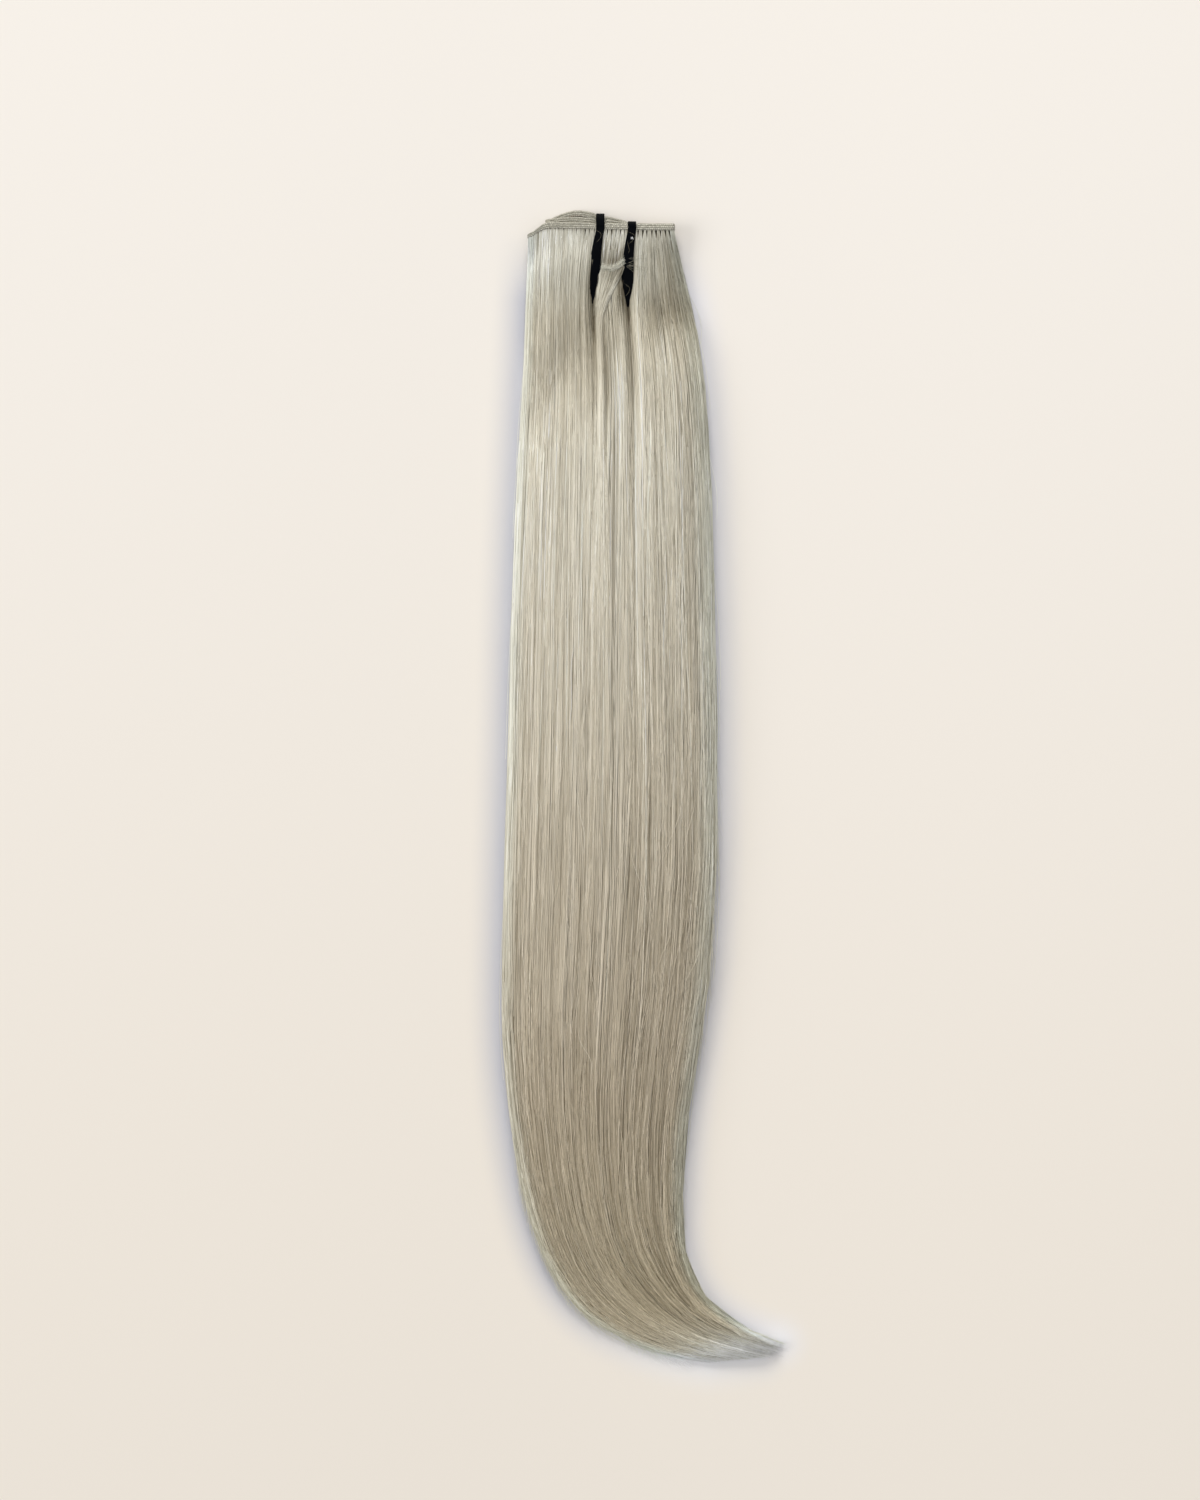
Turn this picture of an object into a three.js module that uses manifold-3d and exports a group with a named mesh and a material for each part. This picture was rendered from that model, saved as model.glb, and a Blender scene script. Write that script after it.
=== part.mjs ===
// A folded hair weft bundle. One long strip of machine-sewn weft is folded on itself into four layers,
// the straight hair of the layers is combed into one fall that curls sideways at the tips, and two flat
// black ties loop over the sewn track and dive through the hair below it. The bundle lies on a table.
// Units are millimetres. +X runs across the weft, +Y from the hair tips to the sewn track, +Z up from
// the table. The origin is the middle of the bundle's box, at table height.
import * as THREE from "three";
import { mergeVertices } from "three/addons/utils/BufferGeometryUtils.js";
import Module from "manifold-3d";

const wasm = await Module();
wasm.setup();
const { lerp, clamp, smoothstep, degToRad } = THREE.MathUtils;

// Driving dimensions
const HAIR_LENGTH = 600;
const TRACK_HEIGHT = 2.8;
const TRACK_THICK = 1.4;
const LAYER_PITCH = 2.4;
const BACK_LAYER_Z = 2.3;
const TIE_WIDTH = 4.2;
const TIE_THICK = 0.8;
const GAP = 0.35;
const ROOT_GAP = 0.6;

// The combed fall, a row for each cross-section. along is measured down the middle from the sewn line,
// heading is the turn of the fall away from straight down, in degrees, positive to the right.
const FALL = [
  { along: 0, heading: 6, width: 73, thick: 10.5 },
  { along: 45, heading: 4.7, width: 85, thick: 13.5 },
  { along: 95, heading: 0.4, width: 94, thick: 17 },
  { along: 165, heading: -0.3, width: 100.4, thick: 20 },
  { along: 240, heading: -0.2, width: 104.2, thick: 21 },
  { along: 320, heading: -1.9, width: 106.4, thick: 20 },
  { along: 395, heading: -3.5, width: 101, thick: 18.5 },
  { along: 450, heading: 2, width: 87.4, thick: 16.5 },
  { along: 500, heading: 16, width: 73.2, thick: 14 },
  { along: 525, heading: 36, width: 62, thick: 12 },
  { along: 545, heading: 48.6, width: 46.4, thick: 10 },
  { along: 565, heading: 63, width: 32.2, thick: 8 },
  { along: 585, heading: 73, width: 22, thick: 6.2 },
  { along: 640, heading: 74, width: 6, thick: 4 },
];
const FALL_START_X = 0.5;
const SPINE_STEP = 2.5;

// The folded strip, a row for each layer from the top one down to the table. left and right are where
// the layer ends, and rise is how far its sewn line stands above the front layer's along Y: at the left
// end, at its crest and at the right end. Neighbouring layers share the end where the strip turns back.
const FOLDS = [
  { name: "front", left: -36, right: 37, riseLeft: -3.4, crest: 0.8, crestAt: -24, riseRight: 0 },
  { name: "second", left: -36, right: 35.5, riseLeft: -3.4, crest: 0.6, crestAt: -20, riseRight: 0.4 },
  { name: "third", left: -25.5, right: 35.5, riseLeft: 3, crest: 4, crestAt: -12, riseRight: 0.4 },
  { name: "back", left: -25.5, right: 34, riseLeft: 3, crest: 7.6, crestAt: -10.5, riseRight: 0 },
];
const RISE_EASE = 0.75;
const GATHER_FROM = 0.45;

// Half thickness of the sewn track over its height: three stitched ribs with two grooves between them.
const TRACK_PROFILE = [
  { at: 0, half: 0.42 },
  { at: 0.1, half: TRACK_THICK / 2 },
  { at: 0.28, half: TRACK_THICK / 2 },
  { at: 0.35, half: 0.45 },
  { at: 0.42, half: TRACK_THICK / 2 },
  { at: 0.6, half: TRACK_THICK / 2 },
  { at: 0.67, half: 0.45 },
  { at: 0.74, half: TRACK_THICK / 2 },
  { at: 0.92, half: TRACK_THICK / 2 },
  { at: 1, half: 0.38 },
];
const TRACK_STEPS = 8;
const TURN_STEPS = 4;

// The ties, by their place across the weft from -1 at its left end to 1 at its right, and their loop.
const TIES = [
  { name: "tie_left", across: -0.01 },
  { name: "tie_right", across: 0.425 },
];
const TIE_DIVE = 39;
const TIE_FLOOR_Z = 0.85;
const TIE_SLACK = 0.3;
const TIE_STATIONS = 52;

// How the hair gathers at the ties: a sideways pull that leans to one side of the weft, and a valley that
// is deepest at the dive.
const TIE_PULL = 0.182;
const PULL_LEAN = 0.9;
const PULL_RUN = 50;
const VALLEY_DEPTH = 4.2;
const VALLEY_HALF_WIDTH = 0.075;
const VALLEY_END = 230;

// The locks between and beside the ties, and the rows down the hair, closer together where it bends.
const LOCK_GROUPS = [
  { from: -1, to: TIES[0].across, locks: 5 },
  { from: TIES[0].across, to: TIES[1].across, locks: 2 },
  { from: TIES[1].across, to: 1, locks: 3 },
];
const ROW_STEPS = [
  { until: 42, step: 7 },
  { until: 102, step: 20 },
  { until: 402, step: 75 },
  { until: 580, step: 22 },
];
const LOCK_RELIEF = 0.9;
const TIP_NOTCH = 5;
const TIP_SKEW = 14;
const EDGE_SHARE = 0.28;
const ROOT_RUN = 22;
const SETTLE_RUN = 70;

// Colours and finishes
const HAIR_FINISH = { color: 0xbfb59f, roughness: 0.45, metalness: 0 };
const TRACK_FINISH = { color: 0x9b9684, roughness: 0.8, metalness: 0 };
const TIE_FINISH = { color: 0x0d0f12, roughness: 0.5, metalness: 0 };

// Solids and meshes

// Joins rings of points into a closed skin. A ring is two rows of points that run out along one face and
// back along the other, so an end is capped by joining each point to the one opposite, and the two faces
// are split along the same diagonals, so that skins stacked on each other stay parallel.
function loft(rings, looped) {
  const around = rings[0].length;
  const index = [];
  const quad = (a, b, c, d) => index.push(a, b, c, a, c, d);
  const mirrored = (a, b, c, d) => index.push(a, b, d, b, c, d);
  const spans = looped ? rings.length : rings.length - 1;
  for (let k = 0; k < spans; k++) {
    const here = k * around;
    const next = ((k + 1) % rings.length) * around;
    for (let j = 0; j < around; j++) {
      const beside = (j + 1) % around;
      const split = j < around / 2 ? quad : mirrored;
      split(here + j, here + beside, next + beside, next + j);
    }
  }
  if (!looped) {
    const last = (rings.length - 1) * around;
    for (let j = 0; j < around / 2 - 1; j++) {
      const opposite = around - 1 - j;
      quad(j, opposite, opposite - 1, j + 1);
      quad(last + j, last + j + 1, last + opposite - 1, last + opposite);
    }
  }
  const geometry = new THREE.BufferGeometry().setFromPoints(rings.flat());
  geometry.setIndex(index);
  return facingOut(geometry);
}

// Turns every face round if the skin came out inside out.
function facingOut(geometry) {
  const place = geometry.getAttribute("position");
  const index = geometry.index.array;
  const corner = (i) => new THREE.Vector3().fromBufferAttribute(place, index[i]);
  let volume = 0;
  for (let i = 0; i < index.length; i += 3) {
    volume += corner(i).dot(corner(i + 1).cross(corner(i + 2)));
  }
  if (volume < 0) {
    geometry.setIndex(Array.from(index).reverse());
  }
  return geometry;
}

function solidOf(geometry) {
  const merged = mergeVertices(geometry, 1e-4);
  const vertProperties = merged.getAttribute("position").array;
  const triVerts = new Uint32Array(merged.index.array);
  return new wasm.Manifold(new wasm.Mesh({ numProp: 3, vertProperties, triVerts }));
}

function geometryOf(solid) {
  const { vertProperties, triVerts } = solid.getMesh();
  const geometry = new THREE.BufferGeometry();
  geometry.setAttribute("position", new THREE.BufferAttribute(vertProperties, 3));
  geometry.setIndex(new THREE.BufferAttribute(triVerts, 1));
  return geometry;
}

function namedMesh(name, geometry, finish) {
  geometry.computeVertexNormals();
  const mesh = new THREE.Mesh(geometry, new THREE.MeshStandardMaterial(finish));
  mesh.name = name;
  return mesh;
}

// The shape of the fall

const alongs = FALL.map((row) => row.along);

function column(key) {
  const curve = new THREE.CubicInterpolant(alongs, FALL.map((row) => row[key]), 1);
  return (along) => curve.evaluate(along)[0];
}

const headingAt = column("heading");
const widthAt = column("width");
const thickAt = column("thick");

// The middle line of the fall as points with a sideways direction, walked along its heading.
function walkSpine() {
  const stations = [];
  let x = FALL_START_X;
  let y = 0;
  for (let along = 0; along <= alongs.at(-1); along += SPINE_STEP) {
    const turn = degToRad(headingAt(along));
    stations.push({ along, x, y, sideX: Math.cos(turn), sideY: Math.sin(turn) });
    x += SPINE_STEP * Math.sin(turn);
    y -= SPINE_STEP * Math.cos(turn);
  }
  return stations;
}

const spine = walkSpine();

// Where a strand that starts at u across the weft lies across the fall, from -1 to 1, further down.
function lateral(u, along) {
  const drawn = Math.sin((Math.PI / 2) * clamp(along / PULL_RUN, 0, 1));
  return u - TIE_PULL * (1 - u * u) * (1 + PULL_LEAN * u) * drawn;
}

// The plan of one strand, as a function from the length of hair run so far to its x and y.
function strandPlan(u) {
  const points = spine.map((s) => {
    const offset = (lateral(u, s.along) * widthAt(s.along)) / 2;
    return { x: s.x + s.sideX * offset, y: s.y + s.sideY * offset, run: 0 };
  });
  for (let k = 1; k < points.length; k++) {
    const step = Math.hypot(points[k].x - points[k - 1].x, points[k].y - points[k - 1].y);
    points[k].run = points[k - 1].run + step;
  }
  return (run) => {
    const k = clamp(points.findIndex((p) => p.run >= run), 1, points.length - 1);
    const before = points[k - 1];
    const after = points[k];
    const share = (run - before.run) / (after.run - before.run);
    return { x: lerp(before.x, after.x, share), y: lerp(before.y, after.y, share) };
  };
}

// How far a layer's sewn line stands above the front one: rounded to the left, easing off to the right.
function rise(fold, x) {
  const onLeft = x < fold.crestAt;
  const end = onLeft ? fold.left : fold.right;
  const share = clamp((x - fold.crestAt) / (end - fold.crestAt), 0, 1);
  const drop = onLeft
    ? 1 - Math.cos((Math.PI / 2) * share)
    : (1 - Math.cos(Math.PI * share ** RISE_EASE)) / 2;
  return lerp(fold.crest, onLeft ? fold.riseLeft : fold.riseRight, drop);
}

function layerZ(level) {
  return BACK_LAYER_Z + LAYER_PITCH * (FOLDS.length - 1 - level);
}

// Thickness of the whole fall at a strand: domed across, with a valley under each tie.
function bodyThick(u, run) {
  const across = Math.min(1, Math.abs(lateral(u, run)));
  const dome = EDGE_SHARE + (1 - EDGE_SHARE) * Math.sqrt(1 - across ** 2.5);
  const reach = smoothstep(run, 2, TIE_DIVE) * (1 - smoothstep(run, TIE_DIVE, VALLEY_END));
  let valley = 0;
  for (const tie of TIES) {
    valley += Math.exp(-(((u - tie.across) / VALLEY_HALF_WIDTH) ** 2));
  }
  return thickAt(run) * dome - VALLEY_DEPTH * reach * valley;
}

// Upper and lower height of one layer's hair at a strand, from its track to its share of the fall.
function layerHeights(level, u, run) {
  const grown = smoothstep(run, 0, ROOT_RUN);
  const body = bodyThick(u, run);
  const slice = body / FOLDS.length;
  const below = FOLDS.length - 1 - level;
  const low = below * slice + (below > 0 ? GAP / 2 : 0);
  const high = (below + 1) * slice - (level > 0 ? GAP / 2 : 0);
  return {
    low: lerp(layerZ(level) - TRACK_THICK / 2, low, grown),
    high: lerp(layerZ(level) + TRACK_THICK / 2, high, grown),
  };
}

// Where a strand of a shorter layer starts: only the outer strands are drawn in to the layer's ends.
function rootPlace(fold, u) {
  const whole = FOLDS[0];
  const end = u < 0 ? fold.left : fold.right;
  const endShare = (2 * (end - whole.left)) / (whole.right - whole.left) - 1;
  const outer = clamp((Math.abs(u) - GATHER_FROM) / (1 - GATHER_FROM), 0, 1);
  return outer > 0 ? lerp(Math.sign(u) * GATHER_FROM, endShare, outer) : u;
}

// A strand of one layer: it starts under its own track and settles into the common fall.
function layerStrand(level, u) {
  const fold = FOLDS[level];
  const rootU = rootPlace(fold, u);
  const start = strandPlan(rootU)(0);
  const shiftY = rise(fold, start.x) - ROOT_GAP - start.y;
  return (run) => {
    const held = 1 - smoothstep(run, 0, SETTLE_RUN);
    const { x, y } = strandPlan(lerp(u, rootU, held))(run);
    return { x, y: y + shiftY * held, ...layerHeights(level, u, run) };
  };
}

// The hair of one layer

// Places across the weft, with edge 1 where two locks meet and 0 inside a lock.
function lockColumns() {
  const columns = [];
  for (const group of LOCK_GROUPS) {
    const count = group.locks * 2;
    for (let i = 0; i < count; i++) {
      columns.push({ u: lerp(group.from, group.to, i / count), edge: 1 - (i % 2) });
    }
  }
  columns.push({ u: 1, edge: 1 });
  return columns;
}

function rowRuns() {
  const runs = [0];
  for (const { until, step } of ROW_STEPS) {
    while (runs.at(-1) + step <= until) {
      runs.push(runs.at(-1) + step);
    }
  }
  return [...runs, HAIR_LENGTH];
}

function hairLayer(level) {
  const isFront = level === 0;
  const runs = rowRuns();
  const strands = lockColumns().map(({ u, edge }) => ({ place: layerStrand(level, u), u, edge }));
  const rings = runs.map((run) => {
    const relief = isFront ? LOCK_RELIEF * smoothstep(run, TIE_DIVE, SETTLE_RUN) : 0;
    const spots = strands.map(({ place, u, edge }) => {
      const spot = place(run === HAIR_LENGTH ? run - TIP_SKEW * u - TIP_NOTCH * edge : run);
      const sunk = Math.min(relief * edge, (spot.high - spot.low) / 2);
      return { ...spot, high: spot.high - sunk };
    });
    const top = spots.map((s) => new THREE.Vector3(s.x, s.y, s.high));
    const under = spots.map((s) => new THREE.Vector3(s.x, s.y, s.low));
    return [...top, ...under.reverse()];
  });
  return loft(rings, false);
}

// The sewn track: one strip, folded back and forth

function trackStations() {
  const stations = [];
  FOLDS.forEach((fold, level) => {
    const side = level % 2 === 0 ? -1 : 1;
    const start = side < 0 ? fold.right : fold.left;
    const end = side < 0 ? fold.left : fold.right;
    for (let i = 0; i <= TRACK_STEPS; i++) {
      const x = lerp(start, end, i / TRACK_STEPS);
      stations.push({ x, y: rise(fold, x), z: layerZ(level), alongX: side, alongZ: 0 });
    }
    const isLast = level === FOLDS.length - 1;
    for (let i = 1; i < TURN_STEPS && !isLast; i++) {
      const angle = (Math.PI * i) / TURN_STEPS;
      const radius = LAYER_PITCH / 2;
      stations.push({
        x: end + side * radius * Math.sin(angle),
        y: rise(fold, end),
        z: layerZ(level) - radius + radius * Math.cos(angle),
        alongX: side * Math.cos(angle),
        alongZ: -Math.sin(angle),
      });
    }
  });
  return stations;
}

function weftTrack() {
  const rings = trackStations().map(({ x, y, z, alongX, alongZ }) => {
    const face = (sign) =>
      TRACK_PROFILE.map(({ at, half }) => {
        const out = sign * half;
        return new THREE.Vector3(x - alongZ * out, y + at * TRACK_HEIGHT, z + alongX * out);
      });
    return [...face(1), ...face(-1).reverse()];
  });
  return loft(rings, false);
}

// The ties

// The middle line of one tie: up the front of the hair, over the folded track, back under the bundle
// along the table, and up again through the hair at the dive.
function tieRoute(across) {
  const strand = layerStrand(0, across);
  const clear = GAP + TIE_THICK / 2 + TIE_SLACK;
  const onHair = (run) => {
    const { x, y, high } = strand(run);
    return new THREE.Vector3(x, y, high + clear);
  };
  const root = strand(0);
  const headX = root.x;
  const edges = FOLDS.map((fold) => rise(fold, headX) + TRACK_HEIGHT);
  const reach = Math.max(...edges) + clear;
  const trackTop = layerZ(0) + TRACK_THICK / 2;
  const dive = strand(TIE_DIVE);
  const atHead = (y, z) => new THREE.Vector3(headX, y, z);
  const atDive = (z) => new THREE.Vector3(dive.x, dive.y, z);
  const underHair = (run) => new THREE.Vector3(strand(run).x, strand(run).y, TIE_FLOOR_Z);
  return [
    ...[30, 20, 10, 2].map(onHair),
    atHead(edges[0], trackTop + clear),
    atHead((edges[0] + reach) / 2, (trackTop + layerZ(1)) / 2 + clear),
    atHead(reach, layerZ(2)),
    atHead(reach, BACK_LAYER_Z - TRACK_THICK / 2),
    atHead(reach - TIE_THICK, TIE_FLOOR_Z),
    ...[4, 16, 30].map(underHair),
    atDive(dive.high * 0.2),
    atDive(dive.high * 0.5),
    atDive(dive.high * 0.85),
  ];
}

function bandRings(across, width, thick) {
  const route = new THREE.CatmullRomCurve3(tieRoute(across), true, "centripetal");
  const rings = [];
  for (let i = 0; i < TIE_STATIONS; i++) {
    const centre = route.getPointAt(i / TIE_STATIONS);
    const tangent = route.getTangentAt(i / TIE_STATIONS);
    const side = new THREE.Vector3(1, 0, 0);
    const out = new THREE.Vector3().crossVectors(side, tangent).normalize();
    const corner = (a, b) =>
      centre.clone().addScaledVector(side, (a * width) / 2).addScaledVector(out, (b * thick) / 2);
    rings.push([corner(-1, 1), corner(1, 1), corner(1, -1), corner(-1, -1)]);
  }
  return rings;
}

function tieBand(across) {
  return loft(bandRings(across, TIE_WIDTH, TIE_THICK), true);
}

// The room that a tie needs in the hair.
function tieRoom(across) {
  return solidOf(loft(bandRings(across, TIE_WIDTH + 2 * GAP, TIE_THICK + 2 * GAP), true));
}

// The bundle
const bundle = new THREE.Group();
bundle.add(namedMesh("weft_track", weftTrack(), TRACK_FINISH));
for (const tie of TIES) {
  bundle.add(namedMesh(tie.name, tieBand(tie.across), TIE_FINISH));
}
const rooms = TIES.map((tie) => tieRoom(tie.across));
FOLDS.forEach((fold, level) => {
  const whole = solidOf(hairLayer(level));
  const cut = rooms.reduce((solid, room) => solid.subtract(room), whole);
  bundle.add(namedMesh(`hair_${fold.name}`, geometryOf(cut), HAIR_FINISH));
});

const box = new THREE.Box3().setFromObject(bundle);
const middle = box.getCenter(new THREE.Vector3());
bundle.position.set(-middle.x, -middle.y, -box.min.z);

const part = new THREE.Group();
part.add(bundle);
export default part;
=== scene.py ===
# %% [markdown]
# # A folded hair weft bundle
# The object is one long strip of machine-sewn hair weft. The strip is folded back and forth into four
# layers, the straight hair is combed into one fall with its tips swept aside, and two flat black ties
# hold the head together. This lesson dresses the plain model with real strands, a stitched track and
# woven ties. Lengths in the tables are millimetres, and meshes are made in metres.

# %% Load the frame
import math

import bpy
import numpy as np
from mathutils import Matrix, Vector


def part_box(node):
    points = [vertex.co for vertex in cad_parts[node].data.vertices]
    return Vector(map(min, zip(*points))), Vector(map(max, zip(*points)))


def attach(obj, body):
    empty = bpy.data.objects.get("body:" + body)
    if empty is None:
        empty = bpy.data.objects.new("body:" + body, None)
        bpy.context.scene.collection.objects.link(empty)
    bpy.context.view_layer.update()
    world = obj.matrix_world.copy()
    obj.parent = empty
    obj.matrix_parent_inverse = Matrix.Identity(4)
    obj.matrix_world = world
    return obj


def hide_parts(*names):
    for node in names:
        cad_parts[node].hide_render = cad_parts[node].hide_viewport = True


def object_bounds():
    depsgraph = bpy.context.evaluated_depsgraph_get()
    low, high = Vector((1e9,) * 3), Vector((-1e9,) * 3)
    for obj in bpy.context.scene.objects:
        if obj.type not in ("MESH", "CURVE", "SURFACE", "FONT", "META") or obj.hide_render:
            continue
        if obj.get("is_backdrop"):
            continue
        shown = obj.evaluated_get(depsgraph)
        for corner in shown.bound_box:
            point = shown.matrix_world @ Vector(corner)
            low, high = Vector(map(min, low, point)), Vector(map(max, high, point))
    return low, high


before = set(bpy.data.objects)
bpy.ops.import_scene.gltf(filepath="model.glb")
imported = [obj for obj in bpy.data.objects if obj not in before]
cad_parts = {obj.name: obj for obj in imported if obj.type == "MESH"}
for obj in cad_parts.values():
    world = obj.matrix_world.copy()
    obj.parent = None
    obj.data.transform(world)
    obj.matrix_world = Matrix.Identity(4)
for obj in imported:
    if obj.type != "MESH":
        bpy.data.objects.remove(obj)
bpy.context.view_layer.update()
MM = 0.001
print("nodes:", sorted(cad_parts))

# %% [markdown]
# The tables below repeat the sizes that the model was built from. FALL gives the combed hair one row
# for each cross-section: how far down the middle it lies, how many degrees the fall has turned, its
# width and its thickness. FOLDS gives each layer of the folded strip one row, from the top layer down.

# %% Sizes shared with the model
HAIR_LENGTH = 600.0
TRACK_HEIGHT, TRACK_THICK = 2.8, 1.4
LAYER_PITCH, BACK_LAYER_Z = 2.4, 2.3
TIE_WIDTH, TIE_THICK = 4.2, 0.8
TIE_LEFT, TIE_RIGHT = -0.01, 0.425
TIE_DIVE, TIE_FLOOR_Z = 39.0, 0.85
TIE_PULL, PULL_LEAN, PULL_RUN = 0.182, 0.9, 50.0
VALLEY_DEPTH, VALLEY_HALF_WIDTH, VALLEY_END = 4.2, 0.075, 140.0
EDGE_SHARE, ROOT_RUN, SETTLE_RUN, GATHER_FROM = 0.28, 22.0, 70.0, 0.45
FALL_START_X, SPINE_STEP, RISE_EASE, TIP_SKEW = 0.5, 2.5, 0.75, 14.0
FALL = np.array([
    # along, heading, width, thick
    (0, 6, 73, 10.5),
    (45, 4.7, 85, 13.5),
    (95, 0.4, 94, 17),
    (165, -0.3, 100.4, 20),
    (240, -0.2, 104.2, 21),
    (320, -1.9, 106.4, 20),
    (395, -3.5, 101, 18.5),
    (450, 2, 87.4, 16.5),
    (500, 16, 73.2, 14),
    (525, 36, 62, 12),
    (545, 48.6, 46.4, 10),
    (565, 63, 32.2, 8),
    (585, 73, 22, 6.2),
    (640, 74, 6, 4),
])
FOLDS = [
    dict(name="front", left=-36, right=37, rise_left=-3.4, crest=0.8, crest_at=-24, rise_right=0),
    dict(name="second", left=-36, right=35.5, rise_left=-3.4, crest=0.6, crest_at=-20, rise_right=0.4),
    dict(name="third", left=-25.5, right=35.5, rise_left=3, crest=4, crest_at=-12, rise_right=0.4),
    dict(name="back", left=-25.5, right=34, rise_left=3, crest=7.6, crest_at=-10.5, rise_right=0),
]
head_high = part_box("weft_track")[1]
TRACK_REACH_X = FOLDS[2]["right"] + LAYER_PITCH / 2 + TRACK_THICK / 2
TRACK_REACH_Y = FOLDS[3]["crest"] + TRACK_HEIGHT
SHIFT = np.array([head_high.x / MM - TRACK_REACH_X, head_high.y / MM - TRACK_REACH_Y, 0.0])
print("tables are shifted by", SHIFT.round(2).tolist(), "mm")

# %% [markdown]
# The camera looks straight down on the bundle, as on a table. A short lens close by would be easy to
# frame, but it would make the hair bulge towards the middle of the picture, so a long lens looks from
# nearly two metres. Its focal length follows from the height and the width of table to be seen.

# %% Camera
VIEW_MIDDLE = (0.0, -259.0)
VIEW_HEIGHT, VIEW_SPAN = 1850.0, 750.0
cam_data = bpy.data.cameras.new("camera")
cam_data.sensor_width = 36.0
cam_data.lens = cam_data.sensor_width * VIEW_HEIGHT / VIEW_SPAN
cam_data.clip_end = 20.0
camera = bpy.data.objects.new("camera", cam_data)
camera.location = ((VIEW_MIDDLE[0] + SHIFT[0]) * MM, (VIEW_MIDDLE[1] + SHIFT[1]) * MM, VIEW_HEIGHT * MM)
bpy.context.collection.objects.link(camera)
bpy.context.scene.camera = camera
print("lens", round(cam_data.lens, 1), "mm from", VIEW_HEIGHT, "mm")

# %% [markdown]
# Hair shows its shape through the way light slides along it. One lamp overhead would light it evenly and
# flatten it. So a broad lamp beyond the sewn end rakes over the fall: slopes that face it shine, and
# slopes that turn away go dull. A second lamp brightens the left flank, and a wide, weak lamp above and a
# pale world fill the shadows.

# %% Light
LAMPS = [
    # name, place in metres, size in metres, watts, colour
    ("lamp_beyond_head", (-0.45, 4.0, 2.5), 2.8, 166, (1.0, 0.985, 0.96)),
    ("lamp_left", (-5.2, -0.6, 3.6), 4.0, 150, (1.0, 0.985, 0.97)),
    ("lamp_above", (0.0, 0.0, 2.8), 2.2, 10, (1.0, 0.98, 0.95)),
]
WORLD_COLOUR, WORLD_STRENGTH = (0.95, 0.965, 1.0, 1), 0.40
scene = bpy.context.scene
scene.view_settings.view_transform = "Standard"
scene.view_settings.look = "None"
for name, place, size, watts, colour in LAMPS:
    lamp = bpy.data.lights.new(name, "AREA")
    lamp.shape = "DISK"
    lamp.size = size
    lamp.energy = watts
    lamp.color = colour
    ob = bpy.data.objects.new(name, lamp)
    ob.location = place
    ob.rotation_mode = "QUATERNION"
    ob.rotation_quaternion = Vector(place).to_track_quat("Z", "Y")
    bpy.context.collection.objects.link(ob)
world = bpy.data.worlds.new("pale_room")
scene.world = world
world.use_nodes = True
background = world.node_tree.nodes["Background"]
background.inputs["Color"].default_value = WORLD_COLOUR
background.inputs["Strength"].default_value = WORLD_STRENGTH

# %% [markdown]
# Each strand follows the same few curves. They could be drawn by hand as guides, but the model's tables
# already say how the fall turns and narrows. smooth_column reads a table column along the fall without
# kinks, and the spine adds up the turns into the line that the middle of the fall follows.

# %% The spine of the fall
def smooth_step(x, low, high):
    t = np.clip((np.asarray(x, float) - low) / (high - low), 0, 1)
    return t * t * (3 - 2 * t)


def mix(a, b, t):
    return a + (b - a) * t


def smooth_column(key):
    t, v = FALL[:, 0], FALL[:, key]
    secant = np.diff(v) / np.diff(t)
    slope = np.concatenate([secant[:1], (secant[:-1] + secant[1:]) / 2, secant[-1:]])

    def read(along):
        p = np.clip(np.asarray(along, float), t[0], t[-1])
        i = np.clip(np.searchsorted(t, p, side="right") - 1, 0, len(t) - 2)
        span = t[i + 1] - t[i]
        s = (p - t[i]) / span
        keep = (2 * s**3 - 3 * s**2 + 1) * v[i] + (3 * s**2 - 2 * s**3) * v[i + 1]
        return keep + span * ((s**3 - 2 * s**2 + s) * slope[i] + (s**3 - s**2) * slope[i + 1])

    return read


heading_at, width_at, thick_at = (smooth_column(k) for k in (1, 2, 3))
spine_s = np.arange(0, FALL[-1, 0] + 0.1, SPINE_STEP)
spine_turn = np.radians(heading_at(spine_s))
spine_x = FALL_START_X + np.concatenate([[0], np.cumsum(np.sin(spine_turn) * SPINE_STEP)[:-1]])
spine_y = -np.concatenate([[0], np.cumsum(np.cos(spine_turn) * SPINE_STEP)[:-1]])
spine_half = width_at(spine_s) / 2
print("the spine ends at", round(float(spine_x[-1]), 1), round(float(spine_y[-1]), 1))

# %% [markdown]
# A strand starts at u across the weft, from -1 at the left end to 1 at the right, and the ties pull it
# a little to the left. Placing it by its distance along the spine would be simple, but it would stretch
# the hair on the outside of the curl. So strand_plan walks every strand by its own length, with a grid that
# is worked out once.

# %% The plan of the fall
def lateral(u, along):
    drawn = np.sin(np.pi / 2 * np.clip(along / PULL_RUN, 0, 1))
    return u - TIE_PULL * (1 - u * u) * (1 + PULL_LEAN * u) * drawn


RUN_END = 660.0
U_GRID = np.linspace(-1.2, 1.2, 97)
RUN_GRID = np.arange(0, RUN_END + 0.1, SPINE_STEP)
s_of_run = np.empty((len(U_GRID), len(RUN_GRID)))
for k, u_line in enumerate(U_GRID):
    off = lateral(u_line, spine_s) * spine_half
    px, py = spine_x + np.cos(spine_turn) * off, spine_y + np.sin(spine_turn) * off
    run_here = np.concatenate([[0], np.cumsum(np.hypot(np.diff(px), np.diff(py)))])
    s_of_run[k] = np.interp(RUN_GRID, run_here, spine_s)


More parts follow.
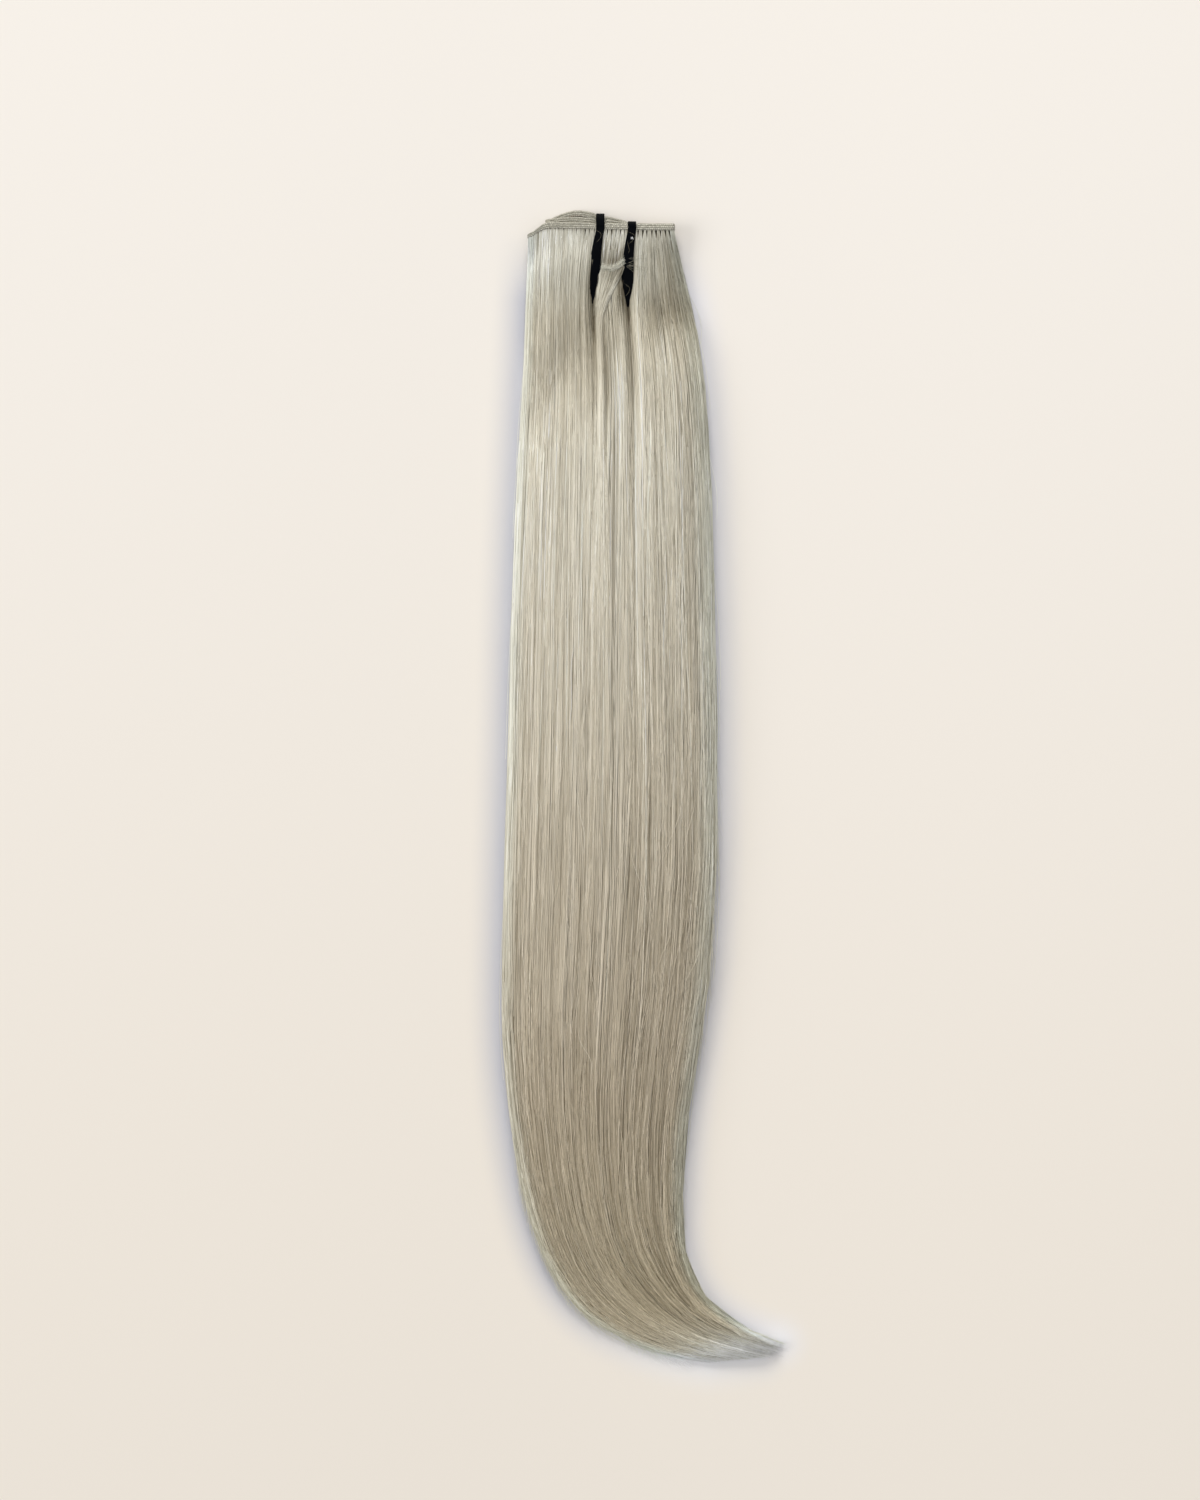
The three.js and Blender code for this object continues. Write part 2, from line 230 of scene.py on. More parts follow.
def strand_plan(u, run):
    """x and y in mm of strands at u across the weft after run mm of hair; arrays of one shape."""
    gu = np.clip((u - U_GRID[0]) / (U_GRID[1] - U_GRID[0]), 0, len(U_GRID) - 1.001)
    gr = np.clip(run / RUN_GRID[1], 0, len(RUN_GRID) - 1.001)
    iu, ir = gu.astype(int), gr.astype(int)
    fu, fr = gu - iu, gr - ir
    s = mix(mix(s_of_run[iu, ir], s_of_run[iu, ir + 1], fr),
            mix(s_of_run[iu + 1, ir], s_of_run[iu + 1, ir + 1], fr), fu)
    off = lateral(u, s) * np.interp(s, spine_s, spine_half)
    turn = np.interp(s, spine_s, spine_turn)
    x = np.interp(s, spine_s, spine_x) + np.cos(turn) * off
    y = np.interp(s, spine_s, spine_y) + np.sin(turn) * off
    return x, y


middle_end = strand_plan(np.array(0.0), np.array(HAIR_LENGTH))
print("a middle strand ends at", [float(np.round(v, 1)) for v in middle_end])

# %% [markdown]
# The fall is domed across, and it dips into a valley under each tie. Below the ties the locks sink a
# little and swell again, and the middle lock is pinched by hair wound across it. These hollows give the
# locks their dull and bright bands. They could be sculpted, but a table of soft spots keeps every strand
# and the filling under it on the same surface.

# %% The height of the fall
HOLLOWS = [
    # place across, half width across, deepest at, half length, depth, later for each step to the left
    (-0.52, 0.50, 70.0, 20.0, 4.6, 26.0),
    (-0.52, 0.50, 17.0, 10.0, -2.0, 0.0),
    (0.80, 0.27, 43.0, 16.0, 3.8, 0.0),
    (0.20, 0.17, 16.5, 5.5, 2.4, 0.0),
    (0.20, 0.17, 32.0, 10.0, -1.0, 0.0),
]
SEAM_AT, SEAM_HALF_WIDTH, SEAM_DEPTH = 0.11, 0.024, 2.6
SEAM_OPENS, SEAM_CLOSES, DOME_POWER = (40, 65), (80, 150), 2.5


def soft_spot(u, run, at, wide, place, long, late):
    """A soft place on the fall: 1 in its middle, fading out round its half width and half length."""
    return np.exp(-((u - at) / wide) ** 4) * np.exp(-((run - place + late * (u - at)) / long) ** 2)


def body_thick(u, run):
    across = np.minimum(1, np.abs(lateral(u, run)))
    dome = EDGE_SHARE + (1 - EDGE_SHARE) * np.sqrt(1 - across**DOME_POWER)
    reach = smooth_step(run, 2, TIE_DIVE) * (1 - smooth_step(run, TIE_DIVE, VALLEY_END))
    valley = sum(np.exp(-((u - at) / VALLEY_HALF_WIDTH) ** 2) for at in (TIE_LEFT, TIE_RIGHT))
    seam = np.exp(-((u - SEAM_AT) / SEAM_HALF_WIDTH) ** 2)
    seam = seam * smooth_step(run, *SEAM_OPENS) * (1 - smooth_step(run, *SEAM_CLOSES))
    hollow = sum(depth * soft_spot(u, run, at, wide, place, long, late)
                 for at, wide, place, long, depth, late in HOLLOWS)
    return thick_at(run) * dome - VALLEY_DEPTH * reach * valley - SEAM_DEPTH * seam - hollow


print("thickest in mm:", round(float(body_thick(np.array(-0.3), np.array(240.0))), 1))

# %% [markdown]
# The four layers of the strip lie on each other and arch up to different heights, so the hair of each one
# starts in its own place. It could simply start where the front layer does, but then the arches would
# stand bare. place_on_layer starts strands under their own layer and lets them settle into the one fall.

# %% Places on the folded layers
def rise(fold, x):
    x = np.asarray(x, float)
    left = np.clip((x - fold["crest_at"]) / (fold["left"] - fold["crest_at"]), 0, 1)
    right = np.clip((x - fold["crest_at"]) / (fold["right"] - fold["crest_at"]), 0, 1)
    on_left = mix(fold["crest"], fold["rise_left"], 1 - np.cos(np.pi / 2 * left))
    on_right = mix(fold["crest"], fold["rise_right"], (1 - np.cos(np.pi * right**RISE_EASE)) / 2)
    return np.where(x < fold["crest_at"], on_left, on_right)


def layer_z(level):
    return BACK_LAYER_Z + LAYER_PITCH * (len(FOLDS) - 1 - level)


def root_place(fold, u):
    whole = FOLDS[0]
    end = np.where(u < 0, fold["left"], fold["right"])
    end_share = 2 * (end - whole["left"]) / (whole["right"] - whole["left"]) - 1
    outer = np.clip((np.abs(u) - GATHER_FROM) / (1 - GATHER_FROM), 0, 1)
    return np.where(outer > 0, mix(np.sign(u) * GATHER_FROM, end_share, outer), u)


def place_on_layer(level, u, run, root_gap=0.0):
    """x and y of strands (rows) by points (columns): they start under the layer's track and settle."""
    fold = FOLDS[level]
    start_u = root_place(fold, u[..., :1])
    start_x, start_y = strand_plan(start_u, np.zeros_like(start_u))
    held = 1 - smooth_step(run, 0, SETTLE_RUN)
    x, y = strand_plan(mix(u, root_place(fold, u), held), run)
    return x, y + (rise(fold, start_x) - root_gap - start_y) * held


print("layers lie at", [round(layer_z(level), 1) for level in range(len(FOLDS))], "mm")

# %% [markdown]
# Finishes come next. Real hair is thousands of fine lines, so anything seen between the strands has to
# read as hair too. The lines could be a picture, but a picture would blur and repeat. One shared group
# turns noise on a piece's own map into lengthwise streaks, and each finish that uses it sets its own
# fineness and contrast. Nodes and links are written as tables here, which read like a wiring list.

# %% A shared group for streaks
GROUP_ENDS = {"in": ("NodeGroupInput", {}, {}), "out": ("NodeGroupOutput", {}, {})}


def new_tree(name, kind, inputs, outputs):
    """A node group with named sockets; each row is a socket's kind, its name and perhaps its value."""
    tree = bpy.data.node_groups.new(name, kind)
    for way, rows in (("INPUT", inputs), ("OUTPUT", outputs)):
        for socket_kind, label, *value in rows:
            socket = tree.interface.new_socket(label, in_out=way, socket_type="NodeSocket" + socket_kind)
            if value:
                socket.default_value = value[0]
    return tree


def fill_tree(tree, nodes, links, made=None):
    """Adds nodes from name: (kind, settings, input values), then links from (node, output, node, input)."""
    made = dict(made or {})
    for name, (kind, settings, values) in nodes.items():
        made[name] = tree.nodes.new(kind)
        for key, value in settings.items():
            setattr(made[name], key, value)
        for key, value in values.items():
            made[name].inputs[key].default_value = value
    for start, output, end, into in links:
        tree.links.new(made[start].outputs[output], made[end].inputs[into])
    return made


streaks = new_tree(
    "lengthwise_streaks", "ShaderNodeTree",
    [("Vector", "Place"), ("Float", "Across", 120.0), ("Float", "Along", 2.0), ("Float", "Contrast", 0.4)],
    [("Float", "Shade"), ("Float", "Height")])
fill_tree(streaks, {
    **GROUP_ENDS,
    "split": ("ShaderNodeSeparateXYZ", {}, {}),
    "wide": ("ShaderNodeMath", {"operation": "MULTIPLY"}, {}),
    "long": ("ShaderNodeMath", {"operation": "MULTIPLY"}, {}),
    "join": ("ShaderNodeCombineXYZ", {}, {}),
    "noise": ("ShaderNodeTexNoise", {}, {"Scale": 1.0, "Detail": 3.0}),
    "spread": ("ShaderNodeMapRange", {}, {"From Min": 0.3, "From Max": 0.7}),
    "lower": ("ShaderNodeMath", {"operation": "SUBTRACT"}, {1: 1.0}),
    "fade": ("ShaderNodeMath", {"operation": "MULTIPLY_ADD"}, {2: 1.0}),
}, [
    ("in", "Place", "split", 0),
    ("split", "X", "wide", 0), ("in", "Across", "wide", 1),
    ("split", "Y", "long", 0), ("in", "Along", "long", 1),
    ("wide", 0, "join", "X"), ("long", 0, "join", "Y"),
    ("join", 0, "noise", "Vector"), ("noise", "Fac", "spread", "Value"),
    ("spread", 0, "lower", 0), ("lower", 0, "fade", 0), ("in", "Contrast", "fade", 1),
    ("fade", 0, "out", "Shade"), ("spread", 0, "out", "Height"),
])
print("group:", streaks.name, [item.name for item in streaks.interface.items_tree])

# %% [markdown]
# Each hair of a natural blend has its own colour, so strands carry it on their points, and their material
# only reads it. A Hair BSDF is made for curves, but these strands are kept as plain meshes, so a
# Principled BSDF with a soft sheen does the work. The filling under them adds streaks to its colour.

# %% Materials of the hair
def new_material(name, roughness, specular, nodes, links):
    mat = bpy.data.materials.new(name)
    mat.use_nodes = True
    shader = mat.node_tree.nodes["Principled BSDF"]
    shader.inputs["Roughness"].default_value = roughness
    shader.inputs["Specular IOR Level"].default_value = specular
    made = fill_tree(mat.node_tree, nodes, links, {"shader": shader})
    print("material:", name)
    return mat, made


def streak_node(across, along, contrast):
    values = {"Across": across, "Along": along, "Contrast": contrast}
    return "ShaderNodeGroup", {"node_tree": streaks}, values


def bump_node(strength, distance):
    return "ShaderNodeBump", {}, {"Strength": strength, "Distance": distance}


OWN_MAP = {"map": ("ShaderNodeUVMap", {"uv_map": "lay"}, {})}
OWN_TINT = {"tint": ("ShaderNodeVertexColor", {"layer_name": "tint"}, {})}
SCALED_COLOUR = ("ShaderNodeVectorMath", {"operation": "SCALE"}, {})
TINTED = [("tint", "Color", "shader", "Base Color")]
STREAKED = [("map", "UV", "lines", "Place"), ("lines", "Height", "bump", "Height"),
            ("bump", "Normal", "shader", "Normal")]
strand_mat, _ = new_material("hair_strands", 0.40, 0.5, OWN_TINT, TINTED)
core_mat, _ = new_material("hair_filling", 0.55, 0.4, {
    **OWN_MAP, **OWN_TINT,
    "lines": streak_node(110.0, 3.0, 0.5),
    "shaded": SCALED_COLOUR,
    "bump": bump_node(0.6, 0.0006),
}, STREAKED + [
    ("tint", "Color", "shaded", 0), ("lines", "Shade", "shaded", "Scale"),
    ("shaded", 0, "shader", "Base Color"),
])

# %% [markdown]
# The track is thread sewn tightly over the roots. A flat colour would make it a plastic strip, so the
# streak group breaks it into threads, and its foot, where it meets the hair, is painted darker as shade in
# that crease. Stitches are separate beads with their own colours.

# %% Materials of the track
def set_ramp(made, low, high):
    for stop, colour in zip(made["ramp"].color_ramp.elements, (low, high)):
        stop.color = (*colour, 1)


track_mat, made = new_material("track_thread", 0.8, 0.25, {
    **OWN_MAP,
    "lines": streak_node(1.6, 0.9, 0.55),
    "ramp": ("ShaderNodeValToRGB", {}, {}),
    "parts": ("ShaderNodeSeparateXYZ", {}, {}),
    # foot: painted shade, darker along the crease where the track meets the hair
    "foot": ("ShaderNodeMapRange", {}, {"From Min": -0.8, "From Max": 0.7, "To Min": 0.4, "To Max": 1.0}),
    "foot_shadowed": SCALED_COLOUR,
    "bump": bump_node(0.8, 0.0003),
}, STREAKED + [
    ("lines", "Shade", "ramp", "Fac"), ("map", "UV", "parts", 0), ("parts", "Y", "foot", "Value"),
    ("ramp", "Color", "foot_shadowed", 0), ("foot", 0, "foot_shadowed", "Scale"), ("foot_shadowed", 0, "shader", "Base Color"),
])
set_ramp(made, (0.10, 0.09, 0.067), (0.50, 0.475, 0.39))
stitch_mat, _ = new_material("stitch_thread", 0.7, 0.3, OWN_TINT, TINTED)

# %% [markdown]
# The ties are black elastic, woven with fine cross ribs. Ribs of that size could be modelled, but they
# hardly show on black, so a wave texture along the band's own map gives them colour and bump. The table
# is plain and reads its colour from its points.

# %% Materials of the ties and the table
tie_mat, made = new_material("tie_elastic", 0.55, 0.016, {
    **OWN_MAP,
    "ribs": ("ShaderNodeTexWave", {"wave_type": "BANDS", "bands_direction": "Y"},
             {"Scale": 0.6, "Distortion": 0.6, "Detail": 1.0}),
    "ramp": ("ShaderNodeValToRGB", {}, {}),
    "bump": bump_node(0.5, 0.0002),
}, [
    ("map", "UV", "ribs", "Vector"), ("ribs", "Fac", "ramp", "Fac"),
    ("ramp", "Color", "shader", "Base Color"),
    ("ribs", "Fac", "bump", "Height"), ("bump", "Normal", "shader", "Normal"),
])
set_ramp(made, (0.0006, 0.0008, 0.0013), (0.0028, 0.0035, 0.0052))
floor_mat, _ = new_material("pale_table", 0.9, 0.1, OWN_TINT, TINTED)

# %% [markdown]
# The colour changes along the hair: cool and pale near the sewn end, warmer and deeper towards the
# tips, and paler again at the very tips, which is painted light for the light that comes through the thin
# ends. The patches are painted light and shade: lighter spots are painted sheen where a lock faces the
# lamps, and darker ones painted shade beside the ties, in the seams and where the locks sink away. Light
# and shadow alone could do that, but only with every hair of a real bundle in place, so the strands that
# are there carry it in their colour.

# %% Tones, and patches of painted light and shade
TONES = np.array([
    # run, red, green, blue
    (0, 0.68, 0.66, 0.57),
    (22, 0.69, 0.665, 0.56),
    (45, 0.71, 0.66, 0.53),
    (75, 0.75, 0.70, 0.57),
    (115, 0.81, 0.765, 0.64),
    (170, 0.79, 0.74, 0.615),
    (300, 0.70, 0.63, 0.495),
    (430, 0.56, 0.48, 0.35),
    (545, 0.46, 0.39, 0.262),
    (562, 0.51, 0.445, 0.315),
    (578, 0.61, 0.565, 0.44),
    (590, 0.82, 0.82, 0.735),
    (600, 0.93, 0.95, 0.92),
])
# patches of painted light and shade: a positive change is painted sheen, a negative one painted shade
LIGHT_AND_SHADE_PATCHES = [
    # place across, half width across, along, half length, change, later for each step to the left
    (-0.50, 0.52, 58.0, 22.0, -0.17, 26.0),
    (-0.55, 0.45, 8.0, 12.0, 0.05, 0.0),
    (-0.50, 0.45, 4.0, 4.0, 0.10, 0.0),
    (-1.00, 0.36, 12.0, 16.0, 0.38, 0.0),
    (-0.15, 0.10, 20.0, 18.0, -0.13, 0.0),
    (-0.90, 0.40, 110.0, 70.0, 0.10, 0.0),
    (-0.97, 0.13, 62.0, 24.0, 0.18, 0.0),
    (-0.62, 0.60, 550.0, 40.0, 0.18, 0.0),
    (-0.70, 0.50, 545.0, 18.0, 0.13, 0.0),
    (0.45, 0.70, 594.0, 10.0, 0.14, 0.0),
    (0.86, 0.09, 535.0, 45.0, 0.26, 0.0),
    (1.00, 0.06, 540.0, 45.0, -0.14, 0.0),
    (-0.14, 0.12, 68.0, 26.0, -0.17, 0.0),
    (0.86, 0.22, 13.0, 11.0, -0.30, 0.0),
    (0.90, 0.08, 25.0, 9.0, -0.30, 0.0),
    (1.00, 0.05, 34.0, 12.0, 0.20, 0.0),
    (0.84, 0.23, 43.5, 13.5, -0.47, 0.0),
    (0.17, 0.20, 4.5, 4.0, 0.50, 0.0),
    (0.19, 0.16, 14.0, 6.0, -0.63, 0.0),
    (0.20, 0.11, 22.5, 4.5, -0.24, 0.0),
    (0.36, 0.07, 30.0, 10.0, -0.84, 0.0),
    (0.25, 0.06, 50.0, 13.0, -0.22, 0.0),
    (SEAM_AT + 0.01, 0.05, 68.0, 22.0, -0.32, 0.0),
    (0.27, 0.05, 85.0, 20.0, 0.42, 0.0),
    (0.14, 0.04, 104.0, 18.0, 0.14, 0.0),
    (0.71, 0.07, 66.0, 13.0, 0.14, 0.0),
    (0.93, 0.12, 104.0, 16.0, -0.10, 0.0),
    (0.28, 0.035, 190.0, 100.0, 0.12, 0.0),
    (TIE_LEFT - 0.055, 0.035, 24.0, 14.0, -0.60, 0.0),
    (TIE_LEFT, 0.025, 62.0, 34.0, -0.35, 0.0),
    (TIE_LEFT, 0.035, 43.0, 11.0, -0.50, 0.0),
    (TIE_RIGHT + 0.05, 0.03, 20.0, 12.0, -0.35, 0.0),
    (TIE_RIGHT, 0.025, 58.0, 28.0, -0.35, 0.0),
    (TIE_RIGHT, 0.035, 41.0, 10.0, -0.50, 0.0),
]
print(len(TONES), "tones and", len(LIGHT_AND_SHADE_PATCHES), "patches")

# %% [markdown]
# A ramp in the material would colour every strand alike, so hair_tint works the colour out for each point.
# It mixes the tones by length, adds the patches of painted light and shade and a painted shadow right
# under the track, and scales them by the strand's own shade, and a darker shade is also a warmer one.
# The hair at the rim is painted lighter and cooler, as painted light that comes through the thin hair and
# falls on the steep flanks, and the very edges are painted a little cooler as soft shade.

# %% Colour along the hair
WARMTH = np.array([0.92, 1.0, 1.17])
# rim: painted light, lighter and cooler where the hair is thin at the edges of the fall
RIM_LEFT, RIM_RIGHT = (0.72, 0.94, 0.78), (0.87, 0.985, 1.1)
RIM_PAINTED_LIGHT, RIM_STARTS, RIM_GROWS = 0.46, (60, 300), (370, 450)
RIM_SHARE_AT_START = 0.4
RIM_COOL = np.array([0.0, 0.05, 0.10])
# the very edges painted a little cooler and greyer, as painted soft shade on the flanks
EDGE_COOL, EDGE_FROM, EDGE_TO = np.array([-0.045, 0.0, 0.03]), 0.84, 0.97
# painted shadow right under the track: how dark the roots are, and over which run it fades
ROOT_SHADOW, ROOT_SHADOW_RUN, TONE_SKEW_FROM = 0.5, (0.6, 2.4), 480
DEPTH_LOW, DEPTH_HIGH = 0.02, 2


def hair_tint(u, run, shade, feather=0.0):
    """Colour of points on strands, with their painted light and shade; feather moves a strand's patches of
    painted light and shade along it, to soften their ends.
    """
    from_root = run + TIP_SKEW * np.clip(u, -1, 1) * smooth_step(run, TONE_SKEW_FROM, HAIR_LENGTH)
    colour = np.stack([np.interp(from_root, TONES[:, 0], TONES[:, k]) for k in (1, 2, 3)], axis=-1)
    # painted light and shade from the patches, moved along each strand by feather
    painted_light_and_shade = sum(change * soft_spot(u, run + feather, at, wide, place, long, late)
                for at, wide, place, long, change, late in LIGHT_AND_SHADE_PATCHES)
    sides = sum(share * smooth_step(side * u, low, high)
                for side, (low, high, share) in ((-1, RIM_LEFT), (1, RIM_RIGHT)))
    rim = sides * mix(smooth_step(run, *RIM_GROWS), smooth_step(run, *RIM_STARTS), RIM_SHARE_AT_START)
    # painted shadow on the first two millimetres of hair, right under the track
    root = mix(ROOT_SHADOW, 1, smooth_step(run, *ROOT_SHADOW_RUN))
    depth = np.clip(shade * (1 + painted_light_and_shade) * (1 + RIM_PAINTED_LIGHT * rim) * root, DEPTH_LOW, DEPTH_HIGH)
    edge = smooth_step(np.abs(u), EDGE_FROM, EDGE_TO)
    cooled = (1 + RIM_COOL * rim[..., None]) * (1 + EDGE_COOL * edge[..., None])
    colour = np.clip(colour * cooled * depth[..., None] ** WARMTH, 0, 1)
    return np.concatenate([colour, np.ones(colour.shape[:-1] + (1,))], axis=-1)


end_tones = hair_tint(np.zeros(2), np.array([0.0, HAIR_LENGTH]), np.ones(2))[:, :3]
print("root and tip tone:", end_tones.round(2).tolist())

# %% [markdown]
# Blender's own operators work on one selected thing at a time, which would be slow for thousands of
# strands, so every mesh is made from arrays. new_piece turns corner places and faces into an object at
# the origin, with a smooth skin, a map named lay and a colour for each point where these are given.
# loft_faces joins rings of points into a closed skin, and face_out makes sure that it faces outwards.

# %% From arrays to a piece
def new_piece(name, verts_mm, faces, material, lay=None, tint=None):
    verts = (np.asarray(verts_mm, float).reshape(-1, 3) + SHIFT) * MM
    mesh = bpy.data.meshes.new(name)
    mesh.from_pydata(verts.tolist(), [], np.asarray(faces).tolist())
    mesh.polygons.foreach_set("use_smooth", np.ones(len(mesh.polygons), bool))
    if lay is not None:
        layer = mesh.uv_layers.new(name="lay")
        layer.data.foreach_set("uv", np.asarray(lay, float).reshape(-1))
    if tint is not None:
        colours = mesh.color_attributes.new("tint", "FLOAT_COLOR", "POINT")
        colours.data.foreach_set("color", np.asarray(tint, float).reshape(-1))
    mesh.materials.append(material)
    mesh.validate()
    ob = bpy.data.objects.new(name, mesh)
    bpy.context.collection.objects.link(ob)
    return ob


def loft_faces(rings, around, looped=False):
    """Quads between rings of points, with caps that join the two faces of a flat ring at its ends."""
    k = np.arange(rings if looped else rings - 1)[:, None]
    j = np.arange(around)[None, :]
    nxt, beside = (k + 1) % rings, (j + 1) % around
    corners = (k * around + j, k * around + beside, nxt * around + beside, nxt * around + j)
    quads = np.stack(np.broadcast_arrays(*corners), axis=-1).reshape(-1, 4)
    if looped:
        return quads
    j = np.arange(around // 2 - 1)
    far, last = around - 1 - j, (rings - 1) * around
    start = np.stack([j, far, far - 1, j + 1], axis=-1)
    end = np.stack([last + j, last + j + 1, last + far - 1, last + far], axis=-1)
    return np.concatenate([quads, start, end])


def face_out(ob):
    """Turns the faces round if the closed skin came out inside out."""
    volume = 0.0
    for face in ob.data.polygons:
        a, b, c = (ob.data.vertices[k].co for k in face.vertices[:3])
        volume += a.dot(b.cross(c))
    if volume < 0:
        ob.data.flip_normals()
    return ob


pieces = []
print("helpers for lofted pieces are ready")

# %% [markdown]
# A real bundle has tens of thousands of hairs, and most of them are hidden. Strands all the way through
# would be far too many triangles, so a filling lies under them, one for each folded layer, a little over
# a millimetre below the top. It is furrowed so that light still breaks into streaks where it shows. Its
# colour is painted darker than the strands, as shade between them, and darkest right under the track, as
# painted shadow in the gaps between the sewn tufts.

# %% Hair filling
# painted shade: the filling is darker than the strands, and darkest under the track as painted shadow
CORE_INSET, CORE_UP, CORE_SHADOW, CORE_SHORT = 0.97, 0.55, 0.66, 14.0
CORE_TRIM, CORE_ROOT_GAP, CORE_SHORT_FROM = 1.5, 0.3, 400
CORE_ROOT_SHADOW, CORE_ROOT_SHADOW_RUN = 0.2, (1, 9)
LAYER_GAP, ROOT_LOW, ROOT_HIGH = 0.15, -0.6, -0.1
FURROW_DEPTH, FURROWS, FURROW_RUN, FURROW_THIN = 0.35, 71, (8, 50), 0.1
FURROW_SWAY, FURROW_TURN = 2.0, 0.011
CORE_RUNS = np.concatenate([np.linspace(0, 12, 5), np.linspace(17, 100, 15), np.linspace(116, 400, 12),
                            np.linspace(416, HAIR_LENGTH, 18)])
CORE_U = np.linspace(-1, 1, 51)


def layer_heights(level, u, run, trim):
    grown = smooth_step(run, 0, ROOT_RUN)
    part = body_thick(u, run) / len(FOLDS)
    below = len(FOLDS) - 1 - level
    low = below * part + (LAYER_GAP if below else CORE_UP)
    high = (below + 1) * part - (LAYER_GAP if level else trim)
    low_root, high_root = layer_z(level) + ROOT_LOW, layer_z(level) + ROOT_HIGH
    low, high = mix(low_root, low, grown), mix(high_root, high, grown)
    return low, np.maximum(high, low + LAYER_GAP)


def filling(level):
    u, run = np.meshgrid(CORE_U * CORE_INSET, CORE_RUNS, indexing="ij")
    run = run - (TIP_SKEW * u + CORE_SHORT) * smooth_step(run, CORE_SHORT_FROM, HAIR_LENGTH)
    x, y = place_on_layer(level, u, run, CORE_ROOT_GAP)
    low, high = layer_heights(level, u, run, CORE_TRIM)
    if level == 0:
        furrow = FURROW_DEPTH * np.sin(u * FURROWS + FURROW_SWAY * np.sin(run * FURROW_TURN))
        high = np.maximum(high + furrow * smooth_step(run, *FURROW_RUN), low + FURROW_THIN)
    top, under = np.stack([x, y, high], axis=-1), np.stack([x, y, low], axis=-1)
    ring = np.concatenate([top, under[::-1]]).transpose(1, 0, 2)
    both_u, both_run = (np.concatenate([v, v[::-1]]).T for v in (u, run))
    faces = loft_faces(*ring.shape[:2])
    lay = np.stack([both_u, both_run / 100], axis=-1).reshape(-1, 2)
    # painted shade on the filling, darkest as painted shadow just under the track
    shade = CORE_SHADOW * mix(CORE_ROOT_SHADOW, 1, smooth_step(both_run, *CORE_ROOT_SHADOW_RUN))
    tint = hair_tint(both_u, both_run, shade)
    name = f"hair_filling_{FOLDS[level]['name']}"
    return face_out(new_piece(name, ring, faces, core_mat, lay[faces.reshape(-1)], tint))


for level, fold in enumerate(FOLDS):
    core = filling(level)
    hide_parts(f"hair_{fold['name']}")
    pieces.append((core, "hair"))
    print(core.name, len(core.data.polygons), "faces")

# %% [markdown]
# A strand is a thin tapered tube. Blender's hair curves would be lighter, but other programs can't read
# them, so strands become plain meshes. One Geometry Nodes tree takes a mesh of bare edges, one chain for
# each strand, turns the chains into curves and sweeps a small ring along them. The chains carry girth,
# which tapers a strand at its ends, and tint, its colour. Inputs set the thickness and the ring's sides.

# %% The tree that sweeps strands
STRAND_SIDES = 3
SWEEP = new_tree(
    "sweep_strands", "GeometryNodeTree",
    [("Geometry", "Geometry"), ("Float", "Thickness"), ("Int", "Sides"), ("Material", "Material")],
    [("Geometry", "Geometry")])
fill_tree(SWEEP, {
    **GROUP_ENDS,
    "chains": ("GeometryNodeMeshToCurve", {}, {}),
    "girth": ("GeometryNodeInputNamedAttribute", {"data_type": "FLOAT"}, {"Name": "girth"}),
    "half": ("ShaderNodeMath", {"operation": "MULTIPLY"}, {1: 0.5}),
    "size": ("ShaderNodeMath", {"operation": "MULTIPLY"}, {}),
    "ring": ("GeometryNodeCurvePrimitiveCircle", {}, {"Radius": 1.0}),
    "sweep": ("GeometryNodeCurveToMesh", {}, {"Fill Caps": True}),
    "smooth": ("GeometryNodeSetShadeSmooth", {}, {}),
    "real": ("GeometryNodeRealizeInstances", {}, {}),
    "paint": ("GeometryNodeSetMaterial", {}, {}),
}, [
    ("in", "Geometry", "chains", "Mesh"), ("in", "Thickness", "half", 0),
    ("girth", "Attribute", "size", 0), ("half", 0, "size", 1),
    ("in", "Sides", "ring", "Resolution"), ("chains", "Curve", "sweep", "Curve"),
    ("ring", "Curve", "sweep", "Profile Curve"), ("size", 0, "sweep", "Scale"),
    ("sweep", "Mesh", "smooth", "Geometry"), ("smooth", "Geometry", "real", "Geometry"),
    ("real", "Geometry", "paint", "Geometry"), ("in", "Material", "paint", "Material"),
    ("paint", "Geometry", "out", "Geometry"),
])
print("tree:", SWEEP.name, [item.name for item in SWEEP.interface.items_tree])

# %% [markdown]
# A tree works on bare points and edges, which point_piece makes, with a value of each attribute for every
# point. It is run by a modifier, whose inputs are set by their identifiers. The modifier could stay on the
# piece, but bake_tree keeps only the result, as a plain mesh.

# %% Running a tree
POINT_KINDS = {1: ("FLOAT", "value"), 3: ("FLOAT_VECTOR", "vector"), 4: ("FLOAT_COLOR", "color")}


def point_piece(name, places_mm, edges=(), **attributes):
    mesh = bpy.data.meshes.new(name)
    mesh.vertices.add(len(places_mm))
    mesh.vertices.foreach_set("co", ((places_mm + SHIFT) * MM).reshape(-1))
    if len(edges):
        mesh.edges.add(len(edges))
        mesh.edges.foreach_set("vertices", edges.reshape(-1))
    for label, values in attributes.items():
        kind, field = POINT_KINDS[values.size // len(places_mm)]
        mesh.attributes.new(label, kind, "POINT").data.foreach_set(field, values.reshape(-1))
    mesh.update()
    ob = bpy.data.objects.new(name, mesh)
    bpy.context.collection.objects.link(ob)
    return ob


def triangles(ob):
    return sum(len(face.vertices) - 2 for face in ob.data.polygons)


